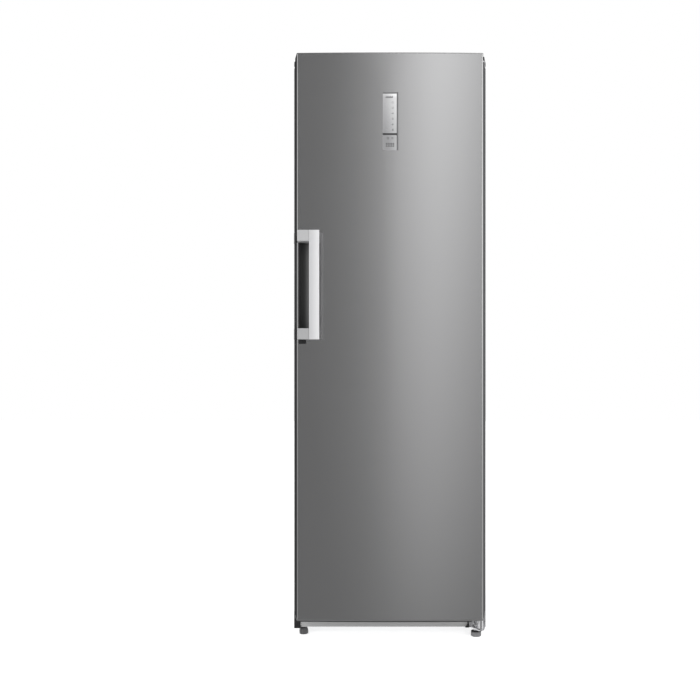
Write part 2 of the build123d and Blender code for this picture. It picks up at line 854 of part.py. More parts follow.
# Right foot: a smooth round pad with a spanner collar, under the lower hinge
with BuildPart() as front_foot_right:
    with BuildSketch(Plane((right_foot_x, right_foot_y, 0))):
        RegularPolygon(radius=right_foot_radius, side_count=round_sides)
    extrude(amount=right_foot_height)
    chamfer(front_foot_right.edges().group_by(Axis.Z)[0], right_foot_edge)
    with BuildSketch(Plane((right_foot_x, right_foot_y, right_foot_height))):
        RegularPolygon(radius=collar_radius, side_count=6)
    extrude(amount=lower_plate_level - clearance - right_foot_height)
    with BuildSketch(Plane((right_foot_x, right_foot_y, right_foot_height))):
        RegularPolygon(radius=foot_stem_radius, side_count=small_sides)
    extrude(amount=stem_length + lower_plate_level - cabinet_underside)
front_foot_right.part.label = "front_foot_right"
export_step(front_foot_right.part, "parts/front_foot_right.step")

# Machine tray at the back, and the gland where the mains lead would pass
gland_level = tray_level + tray_flange / 2
with BuildPart() as cord_gland:
    with BuildSketch(wall_plane(cabinet_back + gland_lip)):
        with Locations((gland_x, gland_level)):
            RegularPolygon(radius=gland_flange, side_count=6)
    extrude(amount=gland_lip)
    with BuildSketch(wall_plane(cabinet_back)):
        with Locations((gland_x, gland_level)):
            RegularPolygon(radius=gland_radius, side_count=6)
    extrude(amount=tray_plate + gland_lip)
    with BuildSketch(wall_plane(cabinet_back + gland_lip)):
        with Locations((gland_x, gland_level)):
            Circle(gland_bore)
    extrude(amount=tray_plate + 2 * gland_lip, mode=Mode.SUBTRACT)
cord_gland.part.label = "cord_gland"
export_step(cord_gland.part, "parts/cord_gland.step")

with BuildPart() as base_tray:
    tray_half = half_width - sheet
    with BuildSketch(Plane.XY.offset(tray_level)):
        panel(-tray_half, tray_half, bay_front, cabinet_back)
    extrude(amount=tray_flange)
    tray_inside = tray_half - tray_plate
    with BuildSketch(Plane.XY.offset(tray_level + tray_plate)):
        panel(-tray_inside, tray_inside, bay_front + tray_plate, cabinet_back - tray_plate)
    extrude(amount=tray_flange, mode=Mode.SUBTRACT)
    with BuildSketch(wall_plane(cabinet_back)):
        with Locations((gland_x, gland_level)):
            RegularPolygon(radius=gland_radius, side_count=6)
    extrude(amount=tray_plate, mode=Mode.SUBTRACT)
base_tray.part.label = "base_tray"
export_step(base_tray.part, "parts/base_tray.step")

# Rear rollers in riveted forks under the tray
fork_inside = roller_width / 2 + fork_side_gap
fork_outside = fork_inside + fork_wall
with BuildPart() as roller_forks:
    for side in (-1, 1):
        middle = side * roller_x
        fork_roof = tray_level - fork_wall
        with BuildSketch(wall_plane(roller_y - fork_length / 2)):
            panel(middle - fork_outside, middle + fork_outside, fork_low, tray_level)
            panel(middle - fork_inside, middle + fork_inside, fork_low, fork_roof, mode=Mode.SUBTRACT)
        extrude(amount=-fork_length)
        axle_plane = Plane(origin=(middle - fork_outside, roller_y, roller_radius), z_dir=(1, 0, 0))
        with BuildSketch(axle_plane):
            RegularPolygon(radius=axle_radius, side_count=small_sides)
        extrude(amount=2 * fork_outside)
roller_forks.part.label = "roller_forks"
export_step(roller_forks.part, "parts/roller_forks.step")

for name, side in (("rear_roller_left", -1), ("rear_roller_right", 1)):
    with BuildPart() as rear_roller:
        wheel_left = side * roller_x - roller_width / 2
        wheel_plane = Plane(origin=(wheel_left, roller_y, roller_radius), z_dir=(1, 0, 0))
        with BuildSketch(wheel_plane):
            RegularPolygon(radius=roller_radius, side_count=round_sides)
        extrude(amount=roller_width)
        with BuildSketch(wheel_plane):
            Circle(axle_radius + clearance)
        extrude(amount=roller_width, mode=Mode.SUBTRACT)
    rear_roller.part.label = name
    export_step(rear_roller.part, f"parts/{name}.step")

# Glass shelves and the glass cover of the crispers
for number, level in enumerate(shelf_levels, start=1):
    with BuildPart() as glass_shelf:
        add(block(-shelf_half, shelf_half, shelf_front, shelf_back, level, level + shelf_thickness))
    glass_shelf.part.label = f"glass_shelf_{number}"
    export_step(glass_shelf.part, f"parts/glass_shelf_{number}.step")

with BuildPart() as crisper_cover:
    add(block(-shelf_half, shelf_half, shelf_front, shelf_back, step_level, step_level + shelf_thickness))
crisper_cover.part.label = "crisper_cover"
export_step(crisper_cover.part, "parts/crisper_cover.step")

# Trims that grip the front edge of each shelf and stand up along its back edge
with BuildPart() as shelf_trims:
    for level in shelf_levels + [step_level]:
        top = level + shelf_thickness
        grip_front = shelf_front - trim_lap
        grip_back = rib_front - clearance
        add(block(-shelf_half, shelf_half, grip_front, grip_back, level - trim_wall, top + trim_wall))
        add(block(-shelf_half, shelf_half, shelf_front, grip_back, level, top), mode=Mode.SUBTRACT)
        add(block(-shelf_half, shelf_half, shelf_back - trim_grip, shelf_back, top, top + trim_wall))
        add(block(-shelf_half, shelf_half, shelf_back - trim_wall, shelf_back, top, top + upstand))
shelf_trims.part.label = "shelf_trims"
export_step(shelf_trims.part, "parts/shelf_trims.step")

# Crispers on the liner's floor and the chill drawer that hangs on its ribs
crisper_back = step_front - drawer_back_gap
crisper_low = liner_floor + clearance
crisper_high = step_level - rib_height - drawer_head_gap
crisper_outer = opening_half - drawer_side_gap
with BuildPart() as crisper_left:
    add(drawer(-crisper_outer, -drawer_side_gap / 2, crisper_back, crisper_low, crisper_high))
crisper_left.part.label = "crisper_left"
export_step(crisper_left.part, "parts/crisper_left.step")

with BuildPart() as crisper_right:
    add(drawer(drawer_side_gap / 2, crisper_outer, crisper_back, crisper_low, crisper_high))
crisper_right.part.label = "crisper_right"
export_step(crisper_right.part, "parts/crisper_right.step")

with BuildPart() as chill_drawer:
    chill_half = opening_half - rib_reach - drawer_side_gap
    chill_high = chill_low + chill_height
    chill_back = duct_front - chill_back_gap
    add(drawer(-chill_half, chill_half, chill_back, chill_low, chill_high))
    runner_low = chill_high - runner_height
    for side in (-1, 1):
        ends = sorted((side * (chill_half - drawer_wall / 2), side * (chill_half + runner_reach)))
        add(block(*ends, rib_front, chill_back - drawer_corner, runner_low, chill_high))
chill_drawer.part.label = "chill_drawer"
export_step(chill_drawer.part, "parts/chill_drawer.step")

# Air duct on the back wall, with a slot above each shelf and a grille in front of the fan
with BuildPart() as duct_hollow:
    hollow_half = duct_half - duct_wall
    hollow_low = duct_low + duct_wall
    hollow_high = duct_high - duct_wall
    add(block(-hollow_half, hollow_half, duct_front + duct_wall, liner_back, hollow_low, hollow_high))
    chamfer(duct_hollow.edges().group_by(Axis.Y)[0], duct_edge - duct_wall)

with BuildPart() as rear_duct:
    add(block(-duct_half, duct_half, duct_front, liner_back, duct_low, duct_high))
    chamfer(rear_duct.edges().group_by(Axis.Y)[0], duct_edge)
    add(duct_hollow.part, mode=Mode.SUBTRACT)
    vent_x = duct_half - vent_length
    with BuildSketch(wall_plane(duct_front)):
        for level in shelf_levels:
            vent_level = level + shelf_pitch * vent_share
            with Locations((-vent_x, vent_level), (vent_x, vent_level)):
                Rectangle(vent_length, vent_height)
        with Locations((0, fan_level)):
            with PolarLocations(grille_radius, grille_slots):
                Rectangle(grille_slot_length, vent_height)
    extrude(amount=-duct_wall, mode=Mode.SUBTRACT)
rear_duct.part.label = "rear_duct"
export_step(rear_duct.part, "parts/rear_duct.step")

# Evaporator: a finned block on the liner's back wall behind the duct
with BuildPart() as evaporator:
    evaporator_front = liner_back - evaporator_depth
    evaporator_middle = evaporator_low + evaporator_height / 2
    with BuildSketch(wall_plane(liner_back)):
        with Locations((0, evaporator_middle)):
            Rectangle(2 * evaporator_half, evaporator_height)
    extrude(amount=evaporator_depth)
    with BuildSketch(wall_plane(evaporator_front)):
        with Locations((0, evaporator_middle)):
            with GridLocations(fin_pitch, 0, int((2 * evaporator_half - fin_gap) / fin_pitch), 1):
                Rectangle(fin_gap, evaporator_height)
    extrude(amount=-fin_cut, mode=Mode.SUBTRACT)
evaporator.part.label = "evaporator"
export_step(evaporator.part, "parts/evaporator.step")

# Fan motor with its shaft, and the fan that turns on it
motor_front = liner_back - motor_depth
fan_back = motor_front - fan_gap
fan_front = fan_back - fan_depth
with BuildPart() as fan_motor:
    with BuildSketch(wall_plane(liner_back)):
        with Locations((0, fan_level)):
            motor_frame = Rectangle(motor_width, motor_width)
        chamfer(motor_frame.vertices(), motor_corner)
    extrude(amount=motor_depth)
    with BuildSketch(wall_plane(motor_front)):
        with Locations((0, fan_level)):
            RegularPolygon(radius=motor_shaft_radius, side_count=small_sides)
    extrude(amount=motor_front - fan_front)
fan_motor.part.label = "fan_motor"
export_step(fan_motor.part, "parts/fan_motor.step")

with BuildPart() as evaporator_fan:
    with BuildSketch(wall_plane(fan_back)):
        with Locations((0, fan_level)):
            RegularPolygon(radius=fan_hub_radius, side_count=2 * fan_blades)
    extrude(amount=fan_depth)
    for number in range(fan_blades):
        turn = radians(360 * number / fan_blades)
        middle = (0, (fan_front + fan_back) / 2, fan_level)
        spoke = Plane(origin=middle, x_dir=(0, 1, 0), z_dir=(cos(turn), 0, sin(turn)))
        with BuildSketch(spoke.offset(fan_hub_radius - 2 * blade_thickness)):
            Rectangle(blade_chord, blade_thickness, rotation=90 - blade_pitch)
        extrude(amount=fan_radius - fan_hub_radius + 2 * blade_thickness)
    with BuildSketch(wall_plane(fan_back)):
        with Locations((0, fan_level)):
            Circle(motor_shaft_radius + clearance)
    extrude(amount=fan_depth, mode=Mode.SUBTRACT)
evaporator_fan.part.label = "evaporator_fan"
export_step(evaporator_fan.part, "parts/evaporator_fan.step")

# Lamp on the ceiling of the food space
with BuildPart() as lamp:
    with BuildSketch(Plane.XY.offset(opening_top)):
        with Locations((0, cabinet_front + lamp_set_back + lamp_depth / 2)):
            Rectangle(lamp_width, lamp_depth)
    extrude(amount=-lamp_height)
    fillet(lamp.edges().filter_by(Axis.X).group_by(Axis.Z)[0], lamp_height / 2)
lamp.part.label = "lamp"
export_step(lamp.part, "parts/lamp.step")

# Compressor: a welded can on a mounting plate, standing on rubber mounts
grommet_x = mount_plate_width / 2 - grommet_inset
grommet_y = mount_plate_depth / 2 - grommet_inset
rim_low = compressor_low + weld_rise
with BuildPart() as compressor:
    with BuildSketch(Plane((compressor_x, compressor_y, compressor_low))):
        RegularPolygon(radius=compressor_radius, side_count=round_sides)
    extrude(amount=compressor_height)
    chamfer(compressor.edges().group_by(Axis.Z)[0], compressor_waist)
    chamfer(compressor.edges().group_by(Axis.Z)[-1], compressor_dome)
    with BuildSketch(Plane((compressor_x, compressor_y, rim_low))):
        RegularPolygon(radius=compressor_radius + weld_rim, side_count=round_sides)
    extrude(amount=weld_rim_height)
    with BuildSketch(Plane((compressor_x, compressor_y, mount_plate_level))):
        mount_plate = Rectangle(mount_plate_width, mount_plate_depth)
        chamfer(mount_plate.vertices(), grommet_inset / 2)
        with GridLocations(2 * grommet_x, 2 * grommet_y, 2, 2):
            RegularPolygon(radius=grommet_neck, side_count=6, mode=Mode.SUBTRACT)
    extrude(amount=mount_plate_thickness)
compressor.part.label = "compressor"
export_step(compressor.part, "parts/compressor.step")

mount_stack = [
    (tray_level + tray_plate, grommet_radius, grommet_height),
    (mount_plate_level, grommet_neck, mount_plate_thickness),
    (compressor_low, washer_radius, washer_height),
]
with BuildPart() as compressor_mounts:
    for level, radius, height in mount_stack:
        with BuildSketch(Plane((compressor_x, compressor_y, level))):
            with GridLocations(2 * grommet_x, 2 * grommet_y, 2, 2):
                RegularPolygon(radius=radius, side_count=6)
        extrude(amount=height)
compressor_mounts.part.label = "compressor_mounts"
export_step(compressor_mounts.part, "parts/compressor_mounts.step")

with BuildPart() as relay_cover:
    relay_right = compressor_x - compressor_radius + relay_overlap
    relay_low = compressor_low + relay_rise
    relay_front = compressor_y - relay_width / 2
    add(
        block(
            relay_right - relay_depth - relay_overlap,
            relay_right,
            relay_front,
            relay_front + relay_width,
            relay_low,
            relay_low + relay_height,
        )
    )
    chamfer(relay_cover.edges().group_by(Axis.X)[0], relay_overlap / 2)
    add(compressor.part, mode=Mode.SUBTRACT)
relay_cover.part.label = "relay_cover"
export_step(relay_cover.part, "parts/relay_cover.step")

# Drip tray, clipped on the flat crown of the compressor
with BuildPart() as drip_tray:
    tray_place = (compressor_x, compressor_y, compressor_high)
    add(
        open_tray(
            tray_place,
            drip_tray_width,
            drip_tray_depth,
            drip_tray_height,
            drip_tray_wall,
            drip_tray_draft,
            drawer_corner,
        )
    )
drip_tray.part.label = "drip_tray"
export_step(drip_tray.part, "parts/drip_tray.step")

# Condenser: one long tube bent back and forth, with upright wires welded across it
coil_points = []
for number, level in enumerate(coil_levels):
    side = 1 if number % 2 == 0 else -1
    coil_points.append((side * coil_half_width, coil_y, level))
    coil_points.append((-side * coil_half_width, coil_y, level))
with BuildPart() as condenser_coil:
    add(tube(coil_points, coil_bend, coil_radius))
condenser_coil.part.label = "condenser_coil"
export_step(condenser_coil.part, "parts/condenser_coil.step")

with BuildPart() as condenser_wires:
    wire_front = condenser_coil.part.bounding_box().max.Y
    wire_count = int(2 * (coil_half_width - coil_bend) / wire_pitch) + 1
    with BuildSketch(Plane((0, wire_front + wire_side / 2, coil_low - wire_overhang))):
        with GridLocations(wire_pitch, 0, wire_count, 1):
            Rectangle(wire_side, wire_side)
    extrude(amount=coil_levels[-1] - coil_low + 2 * wire_overhang)
condenser_wires.part.label = "condenser_wires"
export_step(condenser_wires.part, "parts/condenser_wires.step")

# Clips that hold the condenser off the back panel, between its two outer wires on each side
with BuildPart() as condenser_clips:
    clip_x = (wire_count / 2 - 1) * wire_pitch
    with BuildSketch(wall_plane(cabinet_back)):
        for level in (coil_levels[1], coil_levels[-2]):
            with Locations((-clip_x, level), (clip_x, level)):
                Rectangle(clip_width, clip_height)
    extrude(amount=-rear_gap)
    add(condenser_coil.part, mode=Mode.SUBTRACT)
condenser_clips.part.label = "condenser_clips"
export_step(condenser_clips.part, "parts/condenser_clips.step")

# Refrigerant pipes between the compressor, the condenser and the evaporator
pipe_x = coil_half_width + pipe_offset
liquid_x = coil_half_width + pipe_offset / 2
with BuildPart() as refrigerant_pipes:
    discharge_run = [
        (coil_half_width, coil_y, coil_levels[-1]),
        (pipe_x, coil_y, coil_levels[-1]),
        (pipe_x, coil_y, pipe_level),
        (pipe_x, compressor_y, pipe_level),
        (compressor_x, compressor_y, pipe_level),
    ]
    add(tube(discharge_run, pipe_bend / 2, pipe_radius))
    liquid_run = [
        (coil_half_width, coil_y, coil_low),
        (liquid_x, coil_y, coil_low),
        (liquid_x, coil_y, suction_level),
        (liquid_x, compressor_y + compressor_radius / 2, suction_level),
        (liquid_x, compressor_y + compressor_radius / 2, bay_top),
    ]
    add(tube(liquid_run, pipe_bend / 2, pipe_radius))
    add(rod(liquid_x, coil_y, dryer_radius, dryer_level, dryer_level + dryer_length))
    suction_run = [
        (compressor_x, compressor_y, suction_level),
        (liquid_x - pipe_offset, compressor_y, suction_level),
        (liquid_x - pipe_offset, compressor_y, bay_top),
    ]
    add(tube(suction_run, pipe_bend, pipe_radius))
    add(compressor.part, mode=Mode.SUBTRACT)
refrigerant_pipes.part.label = "refrigerant_pipes"
export_step(refrigerant_pipes.part, "parts/refrigerant_pipes.step")

# Volumes that several pieces of the door share
whole_door = door_block(0, door_back, door_bottom, door_top)
cup_back = door_front + door_bow + cup_depth + cup_wall
cup_volume = block(cup_left, cup_right, door_front, cup_back, cup_low, cup_high) & whole_door
display_low = display_middle - display_height / 2
display_high = display_middle + display_height / 2
display_half = display_width / 2
display_front = door_front + display_recess
display_back = door_front + display_housing_depth
display_space = block(-display_half, display_half, door_front, display_back, display_low, display_high)
recess_left = half_width - recess_width
recess_front = door_front + door_bow + recess_lip
hinge_recess = block(recess_left, half_width, recess_front, cabinet_front, recess_floor, door_top)
plug_low = door_bottom + bottom_plug
plug_high = door_top - top_plug

# Door skin: one sheet over the front and sides, hemmed at the back
with BuildPart() as door_skin:
    skin_low = door_bottom + bottom_rim
    hem_half = door_back_half - door_hem
    with BuildSketch(Plane.XY.offset(skin_low)):
        add(door_plan(0, door_back))
        add(door_plan(sheet, door_face_inside), mode=Mode.SUBTRACT)
        panel(-hem_half, hem_half, door_face_inside, door_back, mode=Mode.SUBTRACT)
    extrude(amount=door_top - top_rim - skin_low)
    add([cup_volume, display_space, hinge_recess], mode=Mode.SUBTRACT)
door_skin.part.label = "door_skin"
export_step(door_skin.part, "parts/door_skin.step")

# Caps that close the door's ends and hold the hinge bushes
with BuildPart() as door_top_cap:
    add(door_block(0, door_back, door_top - top_rim, door_top))
    add(door_block(sheet, door_face_inside, plug_high, door_top - top_rim))
    add(hinge_recess, mode=Mode.SUBTRACT)
    add(bush_block(recess_floor - bush_height), mode=Mode.SUBTRACT)
door_top_cap.part.label = "door_top_cap"
export_step(door_top_cap.part, "parts/door_top_cap.step")

with BuildPart() as door_bottom_cap:
    add(door_block(0, door_back, door_bottom, door_bottom + bottom_rim))
    add(door_block(sheet, door_face_inside, door_bottom + bottom_rim, plug_low))
    add(bush_block(door_bottom), mode=Mode.SUBTRACT)
door_bottom_cap.part.label = "door_bottom_cap"
export_step(door_bottom_cap.part, "parts/door_bottom_cap.step")

with BuildPart() as hinge_bushes:
    bore_depth = pin_engagement + clearance
    bore_radius = pin_radius + clearance
    add(bush_block(recess_floor - bush_height))
    add(rod(hinge_x, hinge_y, bore_radius, recess_floor - bore_depth, recess_floor), mode=Mode.SUBTRACT)
    add(bush_block(door_bottom))
    add(rod(hinge_x, hinge_y, bore_radius, door_bottom, door_bottom + bore_depth), mode=Mode.SUBTRACT)
hinge_bushes.part.label = "hinge_bushes"
export_step(hinge_bushes.part, "parts/hinge_bushes.step")

# Insulating foam: a slab that fills the door and four bars that fill the raised ring, with hairline joints
with BuildPart() as door_foam:
    add(dyke_ring(liner_wall, dyke_back - liner_wall))
    with BuildSketch(wall_plane(liner_plate_front)):
        for level in (dyke_low + dyke_width, dyke_high - dyke_width):
            panel(-dyke_half, dyke_half, level, level + clearance)
    extrude(amount=liner_plate_front - dyke_back, mode=Mode.SUBTRACT)
    add(door_block(sheet, liner_plate_front - clearance, plug_low, plug_high))
    add([cup_volume, display_space], mode=Mode.SUBTRACT)
door_foam.part.label = "door_foam"
export_step(door_foam.part, "parts/door_foam.step")

# Door liner: a moulded plate with a raised ring and ledges for the bins
bin_places = [
    (bottle_bin_level, bottle_bin_height),
    (lower_bin_level, bin_height),
    (upper_bin_level, bin_height),
    (dairy_bin_level, bin_height),
]
with BuildPart() as door_liner:
    with BuildSketch(Plane.XY.offset(plug_low)):
        add(door_plan(sheet, door_face_inside))
        panel(-half_width, half_width, door_front, liner_plate_front, mode=Mode.SUBTRACT)
    extrude(amount=plug_high - plug_low)
    add(dyke_ring(0, dyke_back))
    add(dyke_ring(liner_wall, dyke_back - liner_wall), mode=Mode.SUBTRACT)
    for level, height in bin_places:
        hook = level + height - ear_drop
        for side in (-1, 1):
            ends = sorted((side * (dyke_inner - ledge_reach), side * (dyke_inner + liner_wall / 2)))
            add(block(*ends, ledge_front, ledge_front + ledge_depth, hook - ledge_height, hook))
door_liner.part.label = "door_liner"
export_step(door_liner.part, "parts/door_liner.step")

# Magnetic gasket: a flat base with a narrower crown that meets the cabinet
with BuildPart() as door_gasket:
    gasket_middle = (liner_floor + opening_top) / 2
    outer_height = opening_top - liner_floor + 2 * gasket_reach
    outer_width = 2 * (opening_half + gasket_reach)
    crown_inset = (gasket_width - gasket_crown) / 2
    crown_width = outer_width - 2 * crown_inset
    crown_height = outer_height - 2 * crown_inset
    with BuildSketch(wall_plane(door_face_inside)):
        with Locations((0, gasket_middle)):
            Rectangle(outer_width, outer_height)
            Rectangle(outer_width - 2 * gasket_width, outer_height - 2 * gasket_width, mode=Mode.SUBTRACT)
    extrude(amount=-gasket_base)
    with BuildSketch(wall_plane(door_face_inside + gasket_base)):
        with Locations((0, gasket_middle)):
            Rectangle(crown_width, crown_height)
            Rectangle(crown_width - 2 * gasket_crown, crown_height - 2 * gasket_crown, mode=Mode.SUBTRACT)
    extrude(amount=door_face_inside + gasket_base + clearance - cabinet_front)
door_gasket.part.label = "door_gasket"
export_step(door_gasket.part, "parts/door_gasket.step")

# Handle: an upright bar on two brackets, with dark caps round the door's edge
with BuildPart() as handle_bar:
    add(block(bar_left, bar_left + bar_width, bar_front, bar_back, handle_low, handle_high))
    fillet(handle_bar.edges().group_by(Axis.Y)[0], bar_edge)
handle_bar.part.label = "handle_bar"
export_step(handle_bar.part, "parts/handle_bar.step")

bracket_runs = [(handle_low, cup_low), (cup_high, handle_high)]
with BuildPart() as handle_brackets:
    for low, high in bracket_runs:
        add(block(bracket_left, bar_left, bar_front + bracket_set_back, door_front + door_bow, low, high))
        add(block(bar_left, bar_left + bracket_tail, bar_back, door_front + door_bow, low, high))
    fillet(handle_brackets.edges().group_by(Axis.Y)[0], bracket_edge)
    add(whole_door, mode=Mode.SUBTRACT)
handle_brackets.part.label = "handle_brackets"
export_step(handle_brackets.part, "parts/handle_brackets.step")

with BuildPart() as handle_side_caps:
    cap_front = door_front + door_bow
    for low, high in bracket_runs:
        with BuildSketch(Plane.XY.offset(low)):
            add(door_plan(-side_cap_reach, door_back))
            panel(-half_width, bracket_left, cap_front, cap_front + side_cap_depth, mode=Mode.INTERSECT)
        extrude(amount=high - low)
    add(whole_door, mode=Mode.SUBTRACT)
handle_side_caps.part.label = "handle_side_caps"
export_step(handle_side_caps.part, "parts/handle_side_caps.step")

# Finger cup beside the bar, flush with the door's bowed front
with BuildPart() as handle_grip_cup:
    add(cup_volume)
    with BuildSketch(Plane.XY.offset(cup_low + cup_wall)):
        with Locations(((cup_left + cup_right) / 2, door_front)):
            Ellipse((cup_right - cup_left) / 2 - cup_wall, cup_depth + door_bow)
    extrude(amount=cup_high - cup_low - 2 * cup_wall, mode=Mode.SUBTRACT)
handle_grip_cup.part.label = "handle_grip_cup"
export_step(handle_grip_cup.part, "parts/handle_grip_cup.step")

# Display: a housing with a divider, a window above it and a touch panel below
pane_half = display_half - display_frame_width
pane_back = display_front + window_thickness
touch_low = display_low + display_frame_width
touch_high = touch_low + touch_height
window_low = touch_high + divider_height
window_high = display_high - display_frame_width
window_volume = block(-pane_half, pane_half, display_front, pane_back, window_low, window_high)
touch_volume = block(-pane_half, pane_half, display_front, pane_back, touch_low, touch_high)
with BuildPart() as display_frame:
    add(block(-display_half, display_half, display_front, display_back, display_low, display_high))
    add([window_volume, touch_volume], mode=Mode.SUBTRACT)
display_frame.part.label = "display_frame"
export_step(display_frame.part, "parts/display_frame.step")

with BuildPart() as display_window:
    add(window_volume)
display_window.part.label = "display_window"
export_step(display_window.part, "parts/display_window.step")

with BuildPart() as touch_panel:
    add(touch_volume)
touch_panel.part.label = "touch_panel"
export_step(touch_panel.part, "parts/touch_panel.step")

# Bins on the door's ledges
for name, (level, height) in zip(("bottle_bin", "lower_door_bin", "upper_door_bin"), bin_places):
    with BuildPart() as plain_bin:
        add(door_bin(level, height))
    plain_bin.part.label = name
    export_step(plain_bin.part, f"parts/{name}.step")

# Dairy bin with two cheeks, and the flap that swings up between them
dairy_rim = dairy_bin_level + bin_height
cheek_top = flap_axis_z + 2 * (flap_pin_radius + flap_thickness)
with BuildPart() as dairy_bin:
    add(door_bin(dairy_bin_level, bin_height))
    for cheek_left in (-bin_half, bin_half - bin_wall):
        with BuildSketch(Plane.YZ.offset(cheek_left)):
            panel(door_face_inside, door_face_inside + cheek_depth, dairy_rim - ear_height, cheek_top)
            with Locations((flap_axis_y, flap_axis_z)):
                Circle(flap_pin_radius + clearance, mode=Mode.SUBTRACT)
        extrude(amount=bin_wall)
dairy_bin.part.label = "dairy_bin"
export_step(dairy_bin.part, "parts/dairy_bin.step")

with BuildPart() as dairy_flap:
    flap_half = bin_half - bin_wall - flap_gap
    flap_front = door_face_inside + bin_depth
    flap_top = flap_axis_z + flap_thickness
    with BuildSketch(Plane.YZ.offset(-flap_half)):
        with Locations((flap_axis_y, flap_axis_z)):
            RegularPolygon(radius=flap_pin_radius + flap_thickness, side_count=small_sides)
        panel(flap_axis_y, flap_front, flap_axis_z, flap_top)
        panel(flap_front - flap_thickness, flap_front, dairy_rim + flap_gap, flap_top)
    extrude(amount=2 * flap_half)
    with BuildSketch(Plane.YZ.offset(-bin_half)):
        with Locations((flap_axis_y, flap_axis_z)):
            Circle(flap_pin_radius)
    extrude(amount=2 * bin_half)
dairy_flap.part.label = "dairy_flap"
export_step(dairy_flap.part, "parts/dairy_flap.step")
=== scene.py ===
import json
from math import e, radians

import bpy
import numpy as np
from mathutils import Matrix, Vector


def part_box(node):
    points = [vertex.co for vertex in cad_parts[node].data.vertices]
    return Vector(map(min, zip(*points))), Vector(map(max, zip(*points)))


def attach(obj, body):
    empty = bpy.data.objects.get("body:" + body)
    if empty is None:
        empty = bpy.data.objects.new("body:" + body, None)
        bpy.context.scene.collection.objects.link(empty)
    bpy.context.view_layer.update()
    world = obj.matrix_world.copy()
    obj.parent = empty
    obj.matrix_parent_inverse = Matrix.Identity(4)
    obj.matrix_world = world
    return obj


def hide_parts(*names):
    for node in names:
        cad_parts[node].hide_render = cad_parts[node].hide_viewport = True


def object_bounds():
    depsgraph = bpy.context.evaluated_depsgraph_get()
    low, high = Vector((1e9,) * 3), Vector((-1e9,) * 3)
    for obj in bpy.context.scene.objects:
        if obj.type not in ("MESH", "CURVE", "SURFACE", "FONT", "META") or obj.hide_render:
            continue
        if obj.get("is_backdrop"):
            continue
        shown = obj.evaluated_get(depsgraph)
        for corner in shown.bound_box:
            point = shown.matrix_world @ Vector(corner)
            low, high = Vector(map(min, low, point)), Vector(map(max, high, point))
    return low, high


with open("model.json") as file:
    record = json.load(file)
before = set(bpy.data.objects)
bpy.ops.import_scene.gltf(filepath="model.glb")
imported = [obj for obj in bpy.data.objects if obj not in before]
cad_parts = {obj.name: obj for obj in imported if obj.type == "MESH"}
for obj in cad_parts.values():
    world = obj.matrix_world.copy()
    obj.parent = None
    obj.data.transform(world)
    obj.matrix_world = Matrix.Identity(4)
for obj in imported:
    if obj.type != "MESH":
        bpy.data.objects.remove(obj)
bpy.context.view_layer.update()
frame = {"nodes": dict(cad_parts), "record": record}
nodes = frame["nodes"]
slot_of = {part["node"]: part["material_slot"] for part in frame["record"]["subparts"]}


# Camera: level, 3 m in front of the door, with the refrigerator right of the middle
eye_depth, eye_height = -3.302, 0.886
lens = bpy.data.cameras.new("studio_camera")
lens.lens = 50.8
lens.sensor_width = 36.0
lens.shift_x = -0.057
camera = bpy.data.objects.new("studio_camera", lens)
camera.location = (0.0, eye_depth, eye_height)
camera.rotation_euler = (radians(90), 0, 0)
bpy.context.scene.collection.objects.link(camera)
bpy.context.scene.camera = camera
bpy.context.scene.view_settings.view_transform = "Standard"


class Level:
    """A value carried by a shader socket; arithmetic on numbers adds the Math nodes that work it out."""

    def __init__(self, finish, socket):
        self.finish = finish
        self.socket = socket

    def work(self, operation, *terms):
        """A Math node of this operation on these terms."""
        return self.finish.add("Math", {"operation": operation}, dict(enumerate(terms)))

    def __add__(self, other):
        return self.work("ADD", self, other)

    __radd__ = __add__

    def __sub__(self, other):
        return self.work("SUBTRACT", self, other)

    def __rsub__(self, other):
        return self.work("SUBTRACT", other, self)

    def __mul__(self, other):
        return self.work("MULTIPLY", self, other)

    __rmul__ = __mul__

    def __abs__(self):
        return self.work("ABSOLUTE", self)

    def most(self, other):
        """The larger of two values."""
        return self.work("MAXIMUM", self, other)

    def bell(self, middle, width):
        """exp(-((value - middle) / width)^2): 1 at the middle, falling softly on both sides."""
        reach = (self - middle) * (1.0 / width)
        return self.work("POWER", e, -1.0 * reach * reach)

    def rise(self, low, high):
        """0 below low, 1 above high, with a soft S between them; falls instead where low is above high."""
        ends = {"From Min": min(low, high), "From Max": max(low, high), "Value": self}
        if low > high:
            ends.update({"To Min": 1.0, "To Max": 0.0})
        return self.finish.add("MapRange", {"interpolation_type": "SMOOTHSTEP"}, ends)


